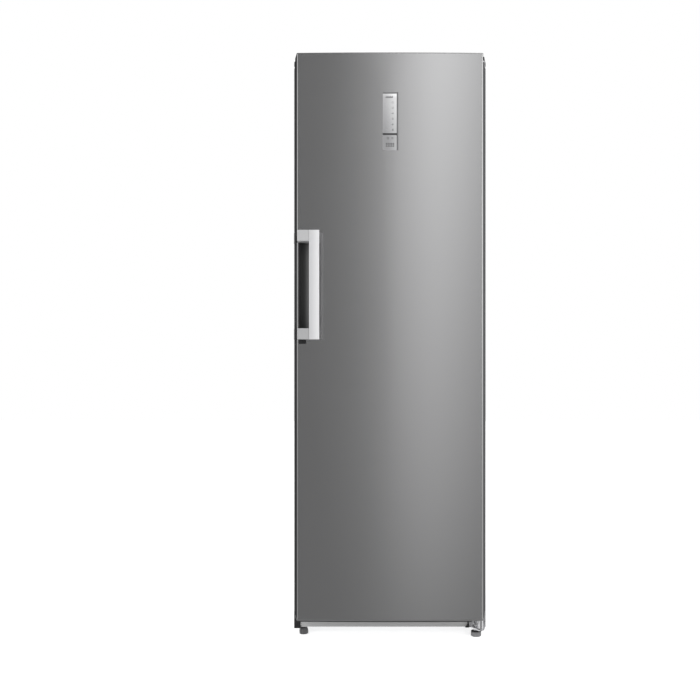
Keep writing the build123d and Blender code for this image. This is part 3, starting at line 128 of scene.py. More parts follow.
class Finish:
    """A material on one Principled shader, with the patterns that the refrigerator's finishes share."""

    def __init__(self, name, **fixed):
        self.material = bpy.data.materials.new(name)
        self.material.use_nodes = True
        self.tree = self.material.node_tree
        self.tree.nodes.clear()
        output = self.tree.nodes.new("ShaderNodeOutputMaterial")
        self.shader = self.tree.nodes.new("ShaderNodeBsdfPrincipled")
        self.tree.links.new(self.shader.outputs[0], output.inputs[0])
        self.place = self.add("TexCoord", output="Object")
        self.set(**fixed)

    def add(self, kind, settings=None, values=None, output=0):
        """A node of this kind: its settings first, then the values or links of its sockets."""
        node = self.tree.nodes.new("ShaderNode" + kind)
        for name, value in (settings or {}).items():
            setattr(node, name, value)
        for socket, value in (values or {}).items():
            self.feed(node.inputs[socket], value)
        return Level(self, node.outputs[output])

    def feed(self, socket, value):
        """Links a worked-out value to the socket, or writes a plain one in it."""
        if isinstance(value, Level):
            self.tree.links.new(value.socket, socket)
        else:
            socket.default_value = value

    def set(self, **sockets):
        """Shader sockets by name, such as base_color or coat_weight; a colour is three numbers."""
        for name, value in sockets.items():
            socket = self.shader.inputs[name.replace("_", " ").title().replace("Ior", "IOR")]
            if isinstance(value, tuple):
                value = (*value, 1.0)
            self.feed(socket, value)

    def noise(self, size, stretch=(1, 1, 1), detail=2.0, shift=0.0):
        """Fractal noise from 0 to 1 with blots of about this size in metres, lengthened along each axis."""
        scale = tuple(1.0 / (size * s) for s in stretch)
        spot = self.add("Mapping", {}, {"Vector": self.place, "Scale": scale, "Location": (shift,) * 3})
        return self.add("TexNoise", {}, {"Vector": spot, "Scale": 1.0, "Detail": detail})

    def cells(self, size, feature="F1", output="Distance"):
        """Voronoi cells of about this size in metres."""
        values = {"Vector": self.place, "Scale": 1.0 / size}
        return self.add("TexVoronoi", {"feature": feature}, values, output)

    def along(self, axis):
        """The place along one axis, in metres."""
        return self.add("SeparateXYZ", {}, {0: self.place}, axis)

    def blend(self, share, first, second):
        """A colour from first to second by this share."""
        first, second = ((*c, 1.0) if isinstance(c, tuple) else c for c in (first, second))
        return self.add("Mix", {"data_type": "RGBA"}, {0: share, 6: first, 7: second}, 2)

    def bump(self, height, depth):
        """The shading normal of this height pattern, depth metres from low to high."""
        return self.add("Bump", {}, {"Height": height, "Distance": depth})


class Backdrop(Finish):
    """A world or stage material that only glows."""

    def __init__(self, tree, output_kind):
        self.tree = tree
        self.tree.nodes.clear()
        self.output = tree.nodes.new("ShaderNodeOutput" + output_kind)

    def glow(self, kind, strength):
        """A plain white glow, on the output's surface."""
        light = self.add(kind, {}, {"Color": (1.0, 1.0, 1.0, 1.0), "Strength": strength})
        self.tree.links.new(light.socket, self.output.inputs["Surface"])


def grey(level, cool=0.0):
    """A grey whose blue is stronger by cool."""
    return (level, level, level + cool)


def brushed_skin():
    """Stainless front: hairlines along X, a little uneven in tone and gloss.

    The bends at both ends carry a painted reflection that is darker towards the floor and on the left; behind
    them the sides are painted dark, lighter towards the right by painted light.
    """
    bend_start, bend_full = 0.2790, 0.2804
    side_start, side_full = -0.2952, -0.2944
    skin = Finish("brushed_skin", anisotropic=0.55, specular_ior_level=0.0)
    hairline = skin.noise(0.0011, (60, 1, 1), 3.0)
    streak = skin.noise(0.006, (40, 1, 1), 2.0, 3.0)
    cloud = skin.noise(0.35, (1, 1, 1), 1.0, 7.0)
    tone = hairline * 0.5 + streak * 0.3 + cloud * 0.2
    x, upper = skin.along("X"), skin.along("Z").rise(0.2, 1.4)
    right, bend = x.rise(-0.1, 0.1), abs(x).rise(bend_start, bend_full)
    side = skin.along("Y").rise(side_start, side_full)
    # Painted reflection on the bends: darker towards the floor and on the left
    left_bend_reflection = skin.blend(upper, grey(0.27), grey(0.45))
    right_bend_reflection = skin.blend(upper, grey(0.38), grey(0.80))
    steel = skin.blend(tone, grey(0.55, 0.005), grey(0.61, 0.005))
    steel = skin.blend(bend, steel, skin.blend(right, left_bend_reflection, right_bend_reflection))
    # Painted light: the dark side paint is lighter towards the right
    paint = skin.blend(right, grey(0.034, 0.001), grey(0.115, 0.002))
    skin.set(
        base_color=skin.blend(side, steel, paint),
        metallic=1.0 - side,
        roughness=0.14 + 0.05 * tone + 0.24 * side,
        normal=skin.bump(hairline, 0.00002),
    )
    return skin


def satin_paint(name, dark, light, rough):
    """Stoved paint with fine orange peel and slight wear in its tone."""
    paint = Finish(name)
    peel = paint.noise(0.0016, detail=2.0)
    cloud = paint.noise(0.25, detail=2.0, shift=5.0)
    paint.set(
        base_color=paint.blend(cloud, dark, light),
        roughness=rough + 0.10 * cloud + 0.04 * peel,
        normal=paint.bump(peel, 0.00006),
    )
    return paint


def zinc_sheet():
    """Galvanised sheet: grey spangles of different tone and gloss, with a fine rolled grain."""
    zinc = Finish("zinc_sheet", metallic=0.85)
    spangle = zinc.add("SeparateColor", {}, {0: zinc.cells(0.009, output="Color")}, 0)
    grain = zinc.noise(0.0009, (1, 1, 14), 2.0)
    zinc.set(
        base_color=zinc.blend(spangle * 0.7 + grain * 0.3, (0.40, 0.41, 0.425), (0.54, 0.55, 0.56)),
        roughness=0.34 + 0.18 * spangle,
        normal=zinc.bump(grain, 0.00003),
    )
    return zinc


def grained_plastic(name, dark, light, rough, shine=0.5, size=0.0009, depth=0.00008):
    """Moulded plastic with a fine leather grain and a soft change of gloss."""
    plastic = Finish(name, specular_ior_level=shine)
    grain = plastic.cells(size, "SMOOTH_F1")
    cloud = plastic.noise(0.09, detail=2.0, shift=2.0)
    plastic.set(
        base_color=plastic.blend(cloud * 0.7 + grain * 0.3, dark, light),
        roughness=rough + 0.10 * cloud + 0.05 * grain,
        normal=plastic.bump(grain, depth),
    )
    return plastic


def formed_sheet():
    """White vacuum-formed liner: glossy, faintly rippled, a touch warmer in places."""
    sheet = Finish("formed_sheet", coat_weight=0.15, coat_roughness=0.2)
    ripple = sheet.noise(0.02, detail=2.0)
    cloud = sheet.noise(0.4, detail=1.0, shift=4.0)
    sheet.set(
        base_color=sheet.blend(cloud, (0.80, 0.81, 0.81), (0.87, 0.875, 0.87)),
        roughness=0.26 + 0.12 * ripple,
        normal=sheet.bump(ripple, 0.0002),
    )
    return sheet


def rigid_foam():
    """Cream polyurethane foam: small open cells."""
    foam = Finish("rigid_foam")
    cell = foam.cells(0.0016)
    foam.set(
        base_color=foam.blend(cell, (0.60, 0.48, 0.24), (0.86, 0.76, 0.50)),
        roughness=0.85 + 0.1 * cell,
        normal=foam.bump(cell, 0.0006),
    )
    return foam


def plated_steel():
    """Bright zinc plate with rolling marks and a few dull spots."""
    plate = Finish("plated_steel", metallic=1.0)
    mark = plate.noise(0.0008, (12, 1, 1), 3.0)
    spot = plate.noise(0.012, detail=3.0, shift=9.0).rise(0.55, 0.75)
    plate.set(
        base_color=plate.blend(spot * 0.6 + mark * 0.4, grey(0.74, 0.01), grey(0.52, 0.02)),
        roughness=0.24 + 0.22 * spot + 0.08 * mark,
        normal=plate.bump(mark, 0.00003),
    )
    return plate


def satin_bar(name, dark, light, metal, axis, start, end):
    """Satin silver of the handle: fine lines along Z under a thin clear coat.

    Along the axis it goes from dark at start to light at end, which is painted shade and light.
    """
    bar = Finish(name, metallic=metal, coat_weight=0.2, coat_roughness=0.15)
    line = bar.noise(0.0007, (1, 1, 40), 3.0)
    cloud = bar.noise(0.08, detail=1.0, shift=6.0)
    # Painted light: lighter from start to end along the axis
    painted_sweep = bar.along(axis).rise(start, end)
    bar.set(
        base_color=bar.blend(line * 0.15 + cloud * 0.05 + painted_sweep * 0.8, dark, light),
        roughness=0.30 + 0.10 * line,
        normal=bar.bump(line, 0.00003),
    )
    return bar


def shelf_glass():
    """Toughened glass: nearly clear faces and green where light runs out of its edges."""
    glass = Finish("shelf_glass", transmission_weight=1.0, ior=1.5, base_color=(0.90, 0.97, 0.94))
    smear = glass.noise(0.05, (1, 3, 1), 3.0)
    glass.set(roughness=0.015 + 0.05 * smear, normal=glass.bump(smear, 0.00002))
    return glass


def clear_plastic():
    """Clear moulded plastic, a little blue, with flow marks and rubbed places."""
    plastic = Finish("clear_plastic", transmission_weight=0.92, ior=1.49)
    flow = plastic.noise(0.03, (1, 1, 4), 3.0)
    rub = plastic.noise(0.12, detail=4.0, shift=8.0).rise(0.5, 0.8)
    plastic.set(
        base_color=plastic.blend(rub, (0.93, 0.965, 0.98), (0.84, 0.88, 0.90)),
        roughness=0.05 + 0.16 * rub + 0.04 * flow,
        normal=plastic.bump(flow, 0.00006),
    )
    return plastic


def swept_plastic(name, left, right, start, end):
    """Grained plastic whose grey goes from left to right between two places along X: painted shade and light.
    """
    plastic = Finish(name, specular_ior_level=0.2)
    grain = plastic.cells(0.0009, "SMOOTH_F1")
    painted_sweep = plastic.along("X").rise(start, end) * 0.94 + grain * 0.06
    plastic.set(
        base_color=plastic.blend(painted_sweep, grey(left), grey(right)),
        roughness=0.46 + 0.08 * grain,
        normal=plastic.bump(grain, 0.00006),
    )
    return plastic


def display_rim():
    """Frame of the display: painted shade above and on the right, dark across the divider, and silver
    elsewhere that is lighter towards the right by painted light.
    """
    right_shade, top_shade, divider_foot, divider_top, fade = 0.0202, 1.6644, 1.5384, 1.5440, 0.0004
    rim = Finish("display_rim", specular_ior_level=0.3)
    x, z = rim.along("X"), rim.along("Z")
    divider = z.rise(divider_foot, divider_foot + fade) * z.rise(divider_top, divider_top - fade)
    # Painted shade above and on the right, with the dark divider
    dark = x.rise(right_shade, right_shade + fade).most(z.rise(top_shade, top_shade + fade)).most(divider)
    grain = rim.noise(0.0008, detail=2.0)
    silver = rim.blend(x.rise(-0.020, 0.020), grey(0.26, 0.005), grey(0.38, 0.005))
    rim.set(
        base_color=rim.blend(dark, silver, grey(0.045, 0.001)),
        roughness=0.34 + 0.10 * grain,
        normal=rim.bump(grain, 0.00001),
    )
    return rim


def silver_window():
    """Display window: silver under a polished face, with a painted reflection that grows lighter towards its
    right and its top.
    """
    window = Finish("silver_window", coat_weight=0.3, coat_roughness=0.2)
    rightwards, z = window.along("X").rise(-0.020, 0.026), window.along("Z")
    upwards = 0.6 * z.rise(1.52, 1.67) + 0.4 * z.rise(1.650, 1.663)
    dust = window.noise(0.0012, detail=3.0)
    left = window.blend(upwards, grey(0.215, 0.005), grey(0.40, 0.005))
    right = window.blend(upwards, grey(0.36, 0.005), grey(0.70, 0.005))
    window.set(
        base_color=window.blend(rightwards, left, right),
        roughness=0.22 + 0.10 * dust,
        normal=window.bump(dust, 0.00001),
    )
    return window


def touch_film():
    """Touch panel: satin silver film in the door's tone, lighter towards its right by a painted reflection.
    """
    film = Finish("touch_film", metallic=0.3, coat_weight=0.2, coat_roughness=0.2)
    rightwards = film.along("X").rise(-0.010, 0.026)
    grain = film.noise(0.0008, (10, 1, 1), 2.0)
    film.set(
        base_color=film.blend(rightwards, grey(0.27, 0.005), grey(0.42, 0.005)),
        roughness=0.30 + 0.10 * grain,
        normal=film.bump(grain, 0.00001),
    )
    return film


def soft_rubber(name, dark, light):
    """Rubber with a dry bloom and a fine skin."""
    rubber = Finish(name)
    skin = rubber.noise(0.0012, detail=3.0)
    bloom = rubber.noise(0.03, detail=3.0, shift=1.0).rise(0.4, 0.8)
    rubber.set(
        base_color=rubber.blend(bloom, dark, light),
        roughness=0.62 + 0.16 * bloom,
        normal=rubber.bump(skin, 0.00005),
    )
    return rubber


def bay_enamel():
    """Black stoving enamel: glossy runs, dust settled on what faces upwards."""
    enamel = Finish("bay_enamel", coat_weight=0.3, coat_roughness=0.1)
    run = enamel.noise(0.006, (1, 1, 3), 3.0)
    up = enamel.add("SeparateXYZ", {}, {0: enamel.add("NewGeometry", output="Normal")}, "Z")
    dust = up.rise(0.2, 1.0) * enamel.noise(0.02, detail=4.0, shift=3.0)
    enamel.set(
        base_color=enamel.blend(dust * 0.5, grey(0.012, 0.001), (0.22, 0.21, 0.20)),
        roughness=0.26 + 0.4 * dust + 0.08 * run,
        normal=enamel.bump(run, 0.00012),
    )
    return enamel


def drawn_copper():
    """Drawn copper tube, browned in patches."""
    copper = Finish("drawn_copper", metallic=1.0)
    tarnish = copper.noise(0.018, detail=4.0).rise(0.35, 0.75)
    line = copper.noise(0.0006, (1, 1, 20), 2.0)
    copper.set(
        base_color=copper.blend(tarnish, (0.90, 0.52, 0.36), (0.42, 0.20, 0.12)),
        roughness=0.22 + 0.28 * tarnish + 0.05 * line,
        normal=copper.bump(line, 0.00002),
    )
    return copper


def mill_aluminium():
    """Plain rolled aluminium with dull oxide clouds."""
    metal = Finish("mill_aluminium", metallic=1.0)
    roll = metal.noise(0.0008, (1, 1, 16), 3.0)
    oxide = metal.noise(0.04, detail=4.0, shift=2.0)
    metal.set(
        base_color=metal.blend(oxide, (0.80, 0.81, 0.82), (0.62, 0.63, 0.64)),
        roughness=0.28 + 0.22 * oxide + 0.06 * roll,
        normal=metal.bump(roll, 0.00003),
    )
    return metal


# A finish for each slot of the record, and knob, shade lip and prints for pieces that have no slot of their
# own
finishes = {
    "skin": brushed_skin(),
    "cabinet_paint": satin_paint("cabinet_paint", grey(0.046, 0.002), grey(0.062, 0.002), 0.34),
    "galvanised": zinc_sheet(),
    "rail_paint": satin_paint("rail_paint", grey(0.40), grey(0.46), 0.36),
    "black_plastic": grained_plastic("black_plastic", grey(0.012, 0.001), grey(0.026, 0.001), 0.46, 0.25),
    "white_plastic": formed_sheet(),
    "foam": rigid_foam(),
    "steel": plated_steel(),
    # Painted light on the handle: the bar is lighter towards its right, the brackets lighter towards their
    # top
    "handle": satin_bar("handle_silver", grey(0.54, 0.01), grey(0.76, 0.01), 0.35, "X", -0.242, -0.212),
    "bracket": satin_bar("bracket_silver", grey(0.375, 0.005), grey(0.47, 0.005), 0.3, "Z", 0.95, 1.22),
    "glass": shelf_glass(),
    "clear": clear_plastic(),
    "display_glass": silver_window(),
    "touch": touch_film(),
    "rubber": soft_rubber("black_rubber", grey(0.018), (0.060, 0.058, 0.056)),
    "gasket": soft_rubber("grey_gasket", grey(0.24, 0.005), grey(0.31, 0.005)),
    "black_metal": bay_enamel(),
    "copper": drawn_copper(),
    "aluminium": mill_aluminium(),
    "dark_print": grained_plastic("dark_print", grey(0.020, 0.002), grey(0.035, 0.002), 0.6, 0.2),
    "knob": grained_plastic("knob_plastic", grey(0.050, 0.002), grey(0.12, 0.002), 0.32),
    "shade_lip": grained_plastic("shade_lip_grey", grey(0.125, 0.002), grey(0.155, 0.003), 0.5, 0.2),
    "grey_print": grained_plastic("grey_print", grey(0.085, 0.002), grey(0.115, 0.002), 0.6, 0.2),
    "grey_plastic": grained_plastic("grey_plastic", grey(0.17, 0.005), grey(0.23, 0.005), 0.45, 0.3),
}
# Nodes whose tone differs from the rest of their slot: painted shade across the grip cup, painted light
# towards the right of the door's caps, and the display frame's painted shade and light
own_finish = {
    "handle_grip_cup": swept_plastic("cup_plastic", 0.031, 0.145, -0.264, -0.246),
    "door_top_cap": swept_plastic("top_cap_plastic", 0.065, 0.25, -0.30, 0.12),
    "door_bottom_cap": swept_plastic("bottom_cap_plastic", 0.105, 0.12, -0.30, 0.30),
    "display_frame": display_rim(),
}
for name, node in nodes.items():
    for place in node.material_slots:
        place.material = own_finish.get(name, finishes[slot_of[name]]).material


# Studio: white surroundings, a pale floor, two soft boxes and the card that the steel mirrors
world = bpy.data.worlds.new("studio_world")
bpy.context.scene.world = world
world.use_nodes = True
seen_glow, lighting_glow = 1.0, 0.72
surroundings = Backdrop(world.node_tree, "World")
ray_kinds = ("Is Camera Ray", "Is Glossy Ray", "Is Transmission Ray")
camera_ray, glossy_ray, clear_ray = (surroundings.add("LightPath", output=kind) for kind in ray_kinds)
seen = camera_ray.most(glossy_ray).most(clear_ray)
surroundings.glow("Background", lighting_glow + (seen_glow - lighting_glow) * seen)


def stage_sheet(name, corners, material):
    """A flat four-cornered sheet of the studio."""
    mesh = bpy.data.meshes.new(name)
    mesh.from_pydata(corners, [], [(0, 1, 2, 3)])
    mesh.materials.append(material)
    sheet = bpy.data.objects.new(name, mesh)
    bpy.context.scene.collection.objects.link(sheet)
    sheet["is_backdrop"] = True
    return sheet


floor_reach = 9.0
pale_floor = Finish("pale_floor", specular_ior_level=0.0, roughness=0.9, emission_strength=1.0)
direct = pale_floor.add("LightPath", output="Is Camera Ray")
pale_floor.set(
    base_color=pale_floor.blend(pale_floor.noise(0.5), grey(0.89), grey(0.91)),
    emission_color=pale_floor.blend(direct, grey(0.36), grey(0.66)),
)
corners = [(x * floor_reach, y * floor_reach, 0) for x, y in ((-1, -1), (1, -1), (1, 1), (-1, 1))]
floor = stage_sheet("pale_floor", corners, pale_floor.material)
floor.visible_glossy = False

# The card glows in an upright band that leans to the left towards its foot and fades there
half_width, card_y, foot, head = 4.5, -8, -5, 8
fade_foot, fade_head = -3.2, 4.2
dim, bright = 0.197, 1.12
band_foot_x, band_lean, band_width = 0.66, 0.27, 0.87
card_paint = bpy.data.materials.new("reflector_card")
card_paint.use_nodes = True
card = Backdrop(card_paint.node_tree, "Material")
card.place = card.add("TexCoord", output="Object")
climb = card.add("MapRange", {}, {"Value": card.along("Z"), "From Min": fade_foot, "From Max": fade_head})
band = card.along("X").bell(band_foot_x + band_lean * climb, band_width)
card.glow("Emission", dim + bright * band * climb)
corners = [(-half_width, card_y, foot), (half_width, card_y, foot)]
corners += [(half_width, card_y, head), (-half_width, card_y, head)]
reflector = stage_sheet("reflector_card", corners, card_paint)
reflector.visible_camera = False
reflector.visible_diffuse = False
reflector.visible_transmission = False
reflector.visible_shadow = False

# Each soft box: its name, place, turn in degrees and power in watts
soft_boxes = [
    ("key_box", (1.9, -2.9, 2.6), (58, 0, 33), 62.0),
    ("fill_box", (-2.4, -2.6, 1.7), (76, 0, -43), 30.0),
]
for name, spot, tilt, power in soft_boxes:
    lamp = bpy.data.lights.new(name, "AREA")
    lamp.size = 1.8
    lamp.energy = power
    soft_box = bpy.data.objects.new(name, lamp)
    soft_box.location = spot
    soft_box.rotation_euler = tuple(radians(part) for part in tilt)
    soft_box.visible_glossy = False
    bpy.context.scene.collection.objects.link(soft_box)


def facets(rows, columns, loop):
    """Corner numbers of a grid's quads: each joins two neighbours of one row to the same two of the next row.

    A row's last point has its first one as neighbour, and in a loop the last row is followed by the first.
    """
    index = np.arange(rows * columns).reshape(rows, columns)
    right, below = np.roll(index, -1, axis=1), np.roll(index, -1, axis=0)
    quads = np.stack([index, right, np.roll(right, -1, axis=0), below], axis=-1)
    return (quads if loop else quads[:-1]).reshape(-1, 4)


def piece(name, grids, finish, body, *replaced, slot=None, loop=False, crease=35):
    """One mesh from grids of points, riding on a body in place of the CAD nodes that it replaces.

    A grid's rows go round, and its first and last row get lids unless they are joined in a loop. A grid
    whose signed volume, the sum of p0 . (p1 x p2) over its triangles, is negative is turned inside out.
    Edges bent by more than crease degrees stay sharp. The slot is not used.
    """
    points, faces, start = [], [], 0
    for grid in grids:
        grid = np.asarray(grid, float)
        rows, columns = grid.shape[:2]
        flat = grid.reshape(-1, 3)
        quads = facets(rows, columns, loop)
        corner = flat[quads] - flat.mean(0)
        volume = sum((corner[:, 0] * np.cross(corner[:, k], corner[:, k + 1])).sum() for k in (1, 2))
        ring = np.arange(columns)
        lids = [] if loop else [ring[::-1], ring + (rows - 1) * columns]
        if volume < 0:
            quads = quads[:, ::-1]
            lids = [lid[::-1] for lid in lids]
        faces += (quads + start).tolist() + [(lid + start).tolist() for lid in lids]
        points.append(flat)
        start += len(flat)
    mesh = bpy.data.meshes.new(name)
    mesh.from_pydata(np.concatenate(points), [], faces)
    mesh.polygons.foreach_set("use_smooth", np.ones(len(mesh.polygons), bool))
    mesh.set_sharp_from_angle(angle=radians(crease))
    mesh.materials.append(finishes[finish].material)
    made = bpy.data.objects.new(name, mesh)
    bpy.context.scene.collection.objects.link(made)
    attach(made, body)
    if replaced:
        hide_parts(*replaced)
    return made


def rings(left, right, front, back, corner, stations, steps=6):
    """Rings of a rounded rectangle, one for each station (inset, height).

    A corner's arc is middle + r (cos t, sin t), where r is the corner's radius less the inset.
    """
    inset, height = np.array(stations, float).T
    t = np.linspace(0, np.pi / 2, steps + 1) + np.pi / 2 * np.arange(4)[:, None]
    turn = np.stack([np.cos(t), np.sin(t)], -1).reshape(-1, 2)
    side = np.sign(np.stack([np.cos(t.mean(1)), np.sin(t.mean(1))], -1)).repeat(steps + 1, 0)
    radius = np.maximum(corner - inset, 0.0003)[:, None, None]
    half = np.array([right - left, back - front]) / 2 - inset[:, None, None]
    flat = side * (half - radius) + radius * turn + np.array([left + right, front + back]) / 2
    return np.concatenate([flat, np.broadcast_to(height[:, None, None], flat.shape[:2] + (1,))], axis=-1)


def pad(left, right, front, back, low, high, corner=0.002, edge=0.0006):
    """A block with rounded upright corners and small bevels above and below."""
    stations = [(edge, low), (0, low + edge), (0, high - edge), (edge, high)]
    return rings(left, right, front, back, corner, stations)


def pads(reach, inner, *sizes):
    """The same block on the left and on the right, from inner to reach on each side of the middle."""
    return [pad(*sorted((side * inner, side * reach)), *sizes) for side in (-1, 1)]


def upright(grid, y):
    """The same grid stood up: its X stays, its Y becomes Z, and its height goes back from this depth."""
    return np.stack([grid[..., 0], y + grid[..., 2], grid[..., 1]], axis=-1)


def turned(profile, middle, axis=2, sides=40):
    """A lathe shape: each (radius, height) of the profile goes once round the axis through the middle."""
    radius, height = np.array(profile, float).T
    t = np.linspace(0, 2 * np.pi, sides, endpoint=False)
    grid = np.empty((len(radius), sides, 3))
    grid[..., axis] = height[:, None]
    grid[..., (axis + 1) % 3] = radius[:, None] * np.cos(t)
    grid[..., (axis + 2) % 3] = radius[:, None] * np.sin(t)
    return grid + np.array(middle)


def bent_route(points, bend, steps=8):
    """A route of straight runs whose corners are arcs.

    From a corner's direction u to the next one v, with w the part of v square to u, the arc is
    start + r sin(t) u + r (1 - cos t) w, where t goes from 0 to the angle between u and v.
    """
    points = np.array(points, float)
    run = np.diff(points, axis=0)
    run /= np.linalg.norm(run, axis=1)[:, None]
    u, v = run[:-1], run[1:]
    cosine = np.einsum("ij,ij->i", u, v)[:, None]
    w = v - cosine * u
    w /= np.linalg.norm(w, axis=1)[:, None]
    angle = np.arccos(cosine)
    t = (angle * np.linspace(0, 1, steps + 1))[:, :, None]
    start = points[1:-1] - bend * np.tan(angle / 2) * u
    arcs = start[:, None] + bend * (np.sin(t) * u[:, None] + (1 - np.cos(t)) * w[:, None])
    return np.concatenate([points[:1], arcs.reshape(-1, 3), points[-1:]])


def tube(path, radius, sides=12):
    """A round section carried along a path: path + r (cos t a + sin t b), a and b square to its direction."""
    ahead = np.gradient(path, axis=0)
    ahead /= np.linalg.norm(ahead, axis=1)[:, None]
    a = np.cross(ahead, (0.36, 0.48, 0.80))
    a /= np.linalg.norm(a, axis=1)[:, None]
    b = np.cross(ahead, a)
    t = np.linspace(0, 2 * np.pi, sides, endpoint=False)[:, None]
    return path[:, None] + radius * (np.cos(t) * a[:, None] + np.sin(t) * b[:, None])


def serpentine(half_width, y, levels, bend):
    """A route to and fro between both sides at these heights, its bends at the ends being arcs."""
    sides = [half_width, -half_width] * (len(levels) // 2)
    ends = [[(side, y, level), (-side, y, level)] for side, level in zip(sides, levels)]
    return bent_route(np.reshape(ends, (-1, 3)), bend)


def screw_head(spot, outward, radius, sides=48):
    """A domed screw head with a cross recess, on an upright face that looks to -Y or +Y: outward is -1 or 1.

    At the share q of the radius r its height over the face is r (0.12 + 0.4 (1 - q^2)), less 0.3 r in the
    recess, where q is under 0.6 and the smaller of |x| and |z| under 0.13 r. The first ring lies inside
    the face.
    """
    share = np.array([1.0, 1.0, 0.93, 0.8, 0.64, 0.58, 0.5, 0.36, 0.24, 0.12, 0.0])[:, None]
    t = np.linspace(0, 2 * np.pi, sides, endpoint=False)
    x, z = radius * share * np.cos(t), radius * share * np.sin(t)
    recess = (np.minimum(abs(x), abs(z)) < 0.13 * radius) & (share < 0.6)
    height = radius * (0.12 + 0.4 * (1 - share**2)) - 0.3 * radius * recess
    height[0] = -0.1 * radius
    return np.stack([x, outward * height, z], axis=-1) + np.array(spot)


def stem(x, y, low, top, pitch=0.0014):
    """A threaded stem: its radius goes in and out once for each thread."""
    rise = np.arange(low, top, pitch / 2)
    return turned([(0.0048 + 0.0006 * (k % 2), z) for k, z in enumerate(rise)], (x, y, 0), sides=24)


def collar(x, y, low, top, radius=0.0079, bevel=0.0004):
    """A hexagon collar with bevelled ends."""
    profile = [(0.0072, low), (radius, low + bevel), (radius, top - bevel), (0.0072, top)]
    return turned(profile, (x, y, 0), sides=6)


def number_mark(name, words, spot, height):
    """A flat number printed on the door, turned into a mesh before it is placed.

    The font's size is 1.4 times the height of its figures.
    """
    letters = bpy.data.curves.new(name, "FONT")
    letters.body = words
    letters.size = height * 1.4
    letters.align_x = "CENTER"
    letters.align_y = "CENTER"
    source = bpy.data.objects.new(name, letters)
    bpy.context.scene.collection.objects.link(source)
    bpy.context.view_layer.update()
    mesh = bpy.data.meshes.new_from_object(source)
    bpy.data.objects.remove(source)
    flat = np.empty(len(mesh.vertices) * 3, np.float32)
    mesh.vertices.foreach_get("co", flat)
    stood = upright(flat.reshape(-1, 3), 0) + np.array(spot)
    mesh.vertices.foreach_set("co", stood.ravel())
    mesh.materials.clear()
    mesh.materials.append(finishes["dark_print"].material)
    made = bpy.data.objects.new(name, mesh)
    bpy.context.scene.collection.objects.link(made)
    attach(made, "door")
    return made


def middle(name):
    """The middle of a CAD node's box."""
    low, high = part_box(name)
    return (low + high) / 2


# Small distance by which a moulding stays inside the CAD face that it covers
skim = 0.0002

# Door bins: drafted trays with a rolled rim, ribs across the back and a lug at each end.
# Each has the height of its wall and the number of its ribs.
bins = {
    "bottle_bin": (0.120, 3),
    "lower_door_bin": (0.084, 2),
    "upper_door_bin": (0.084, 2),
    "dairy_bin": (0.084, 2),
}
bin_half, bin_depth, bin_wall = 0.202, 0.092, 0.0025
for name, (wall_height, ribs) in bins.items():
    low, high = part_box(name)
    base, rim, waist = low.z, low.z + wall_height, low.z + wall_height / 2
    front, back = low.y, low.y + bin_depth
    draft = 0.035 * wall_height
    outside = [(draft + 0.002, base), (draft, base + 0.0015), (draft / 2, waist), (0.0003, rim - 0.006)]
    roll = [(0.0, rim - 0.005), (0.0, rim - 0.0008), (0.0008, rim), (0.0022, rim), (0.0027, rim - 0.0008)]
    inside = [(bin_wall + draft / 2, waist), (bin_wall + draft, base + 0.006)]
    inside.append((2 * bin_wall + draft, base + bin_wall))
    grids = [rings(-bin_half, bin_half, front, back, 0.010, outside + roll + inside, 8)]
    lug_foot, lug_front, lug_back = rim - 0.024, front + 0.010, front + 0.028
    grids += pads(high.x - skim, bin_half - 0.002, lug_front + skim / 2, lug_back - skim / 2,
                  lug_foot + skim / 2, lug_foot + 0.010 - skim / 2, 0.001)
    for number in range(ribs):
        level = base + wall_height * (0.30 + 0.18 * number)
        lean = draft * (rim - level) / wall_height
        bead = [(0, 0), (0, 0.0004), (0.0006, 0.0009)]
        rib = rings(0.03 - bin_half, bin_half - 0.03, level, level + 0.003, 0.0014, bead, 3)
        grids.append(upright(rib, back - lean - skim))
    if name == "dairy_bin":
        grids += pads(bin_half, bin_half - 0.0025, front + skim / 2, front + 0.034 - skim / 2,
                      rim - 0.010, high.z - skim, 0.0008)
    piece(name + "_moulding", grids, "clear", "door", name)

# Drawers: the same moulding with a pull along the front, and runners on the chill drawer
drawers = {"crisper_left": "left_crisper", "crisper_right": "right_crisper", "chill_drawer": "chiller"}
pull_depth, drawer_wall = 0.009, 0.0025
for name, body in drawers.items():
    low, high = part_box(name)
    runner = 0.007 if name == "chill_drawer" else 0.0
    left, right, front, back = low.x + runner, high.x - runner, low.y + pull_depth, high.y
    base, rim, waist = low.z, high.z, (low.z + high.z) / 2
    draft = 0.026 * (rim - base)
    outside = [(draft + 0.002, base), (draft, base + 0.0015), (draft / 2, waist)]
    roll = [(0.0, rim - 0.0008), (0.0008, rim), (0.0018, rim), (drawer_wall, rim - 0.0008)]
    inside = [(drawer_wall + draft / 2, waist), (drawer_wall + draft, base + 0.007)]
    inside.append((0.006 + draft, base + drawer_wall))
    grids = [rings(left, right, front, back, 0.014, outside + roll + inside, 10)]
    grip = (left + 0.014, right - 0.014)
    grids.append(pad(*grip, low.y, front + 0.0012, rim - 0.0025, rim, 0.0012, 0.0005))
    grids.append(pad(*grip, low.y, low.y + 0.0025, rim - 0.014, rim - 0.0005, 0.0008, 0.0005))
    if runner:
        grids += pads(high.x, right - 0.0012, low.y + 0.0211, back - 0.014, rim - 0.004, rim, 0.001, 0.0005)
    piece(name + "_moulding", grids, "clear", body, name)

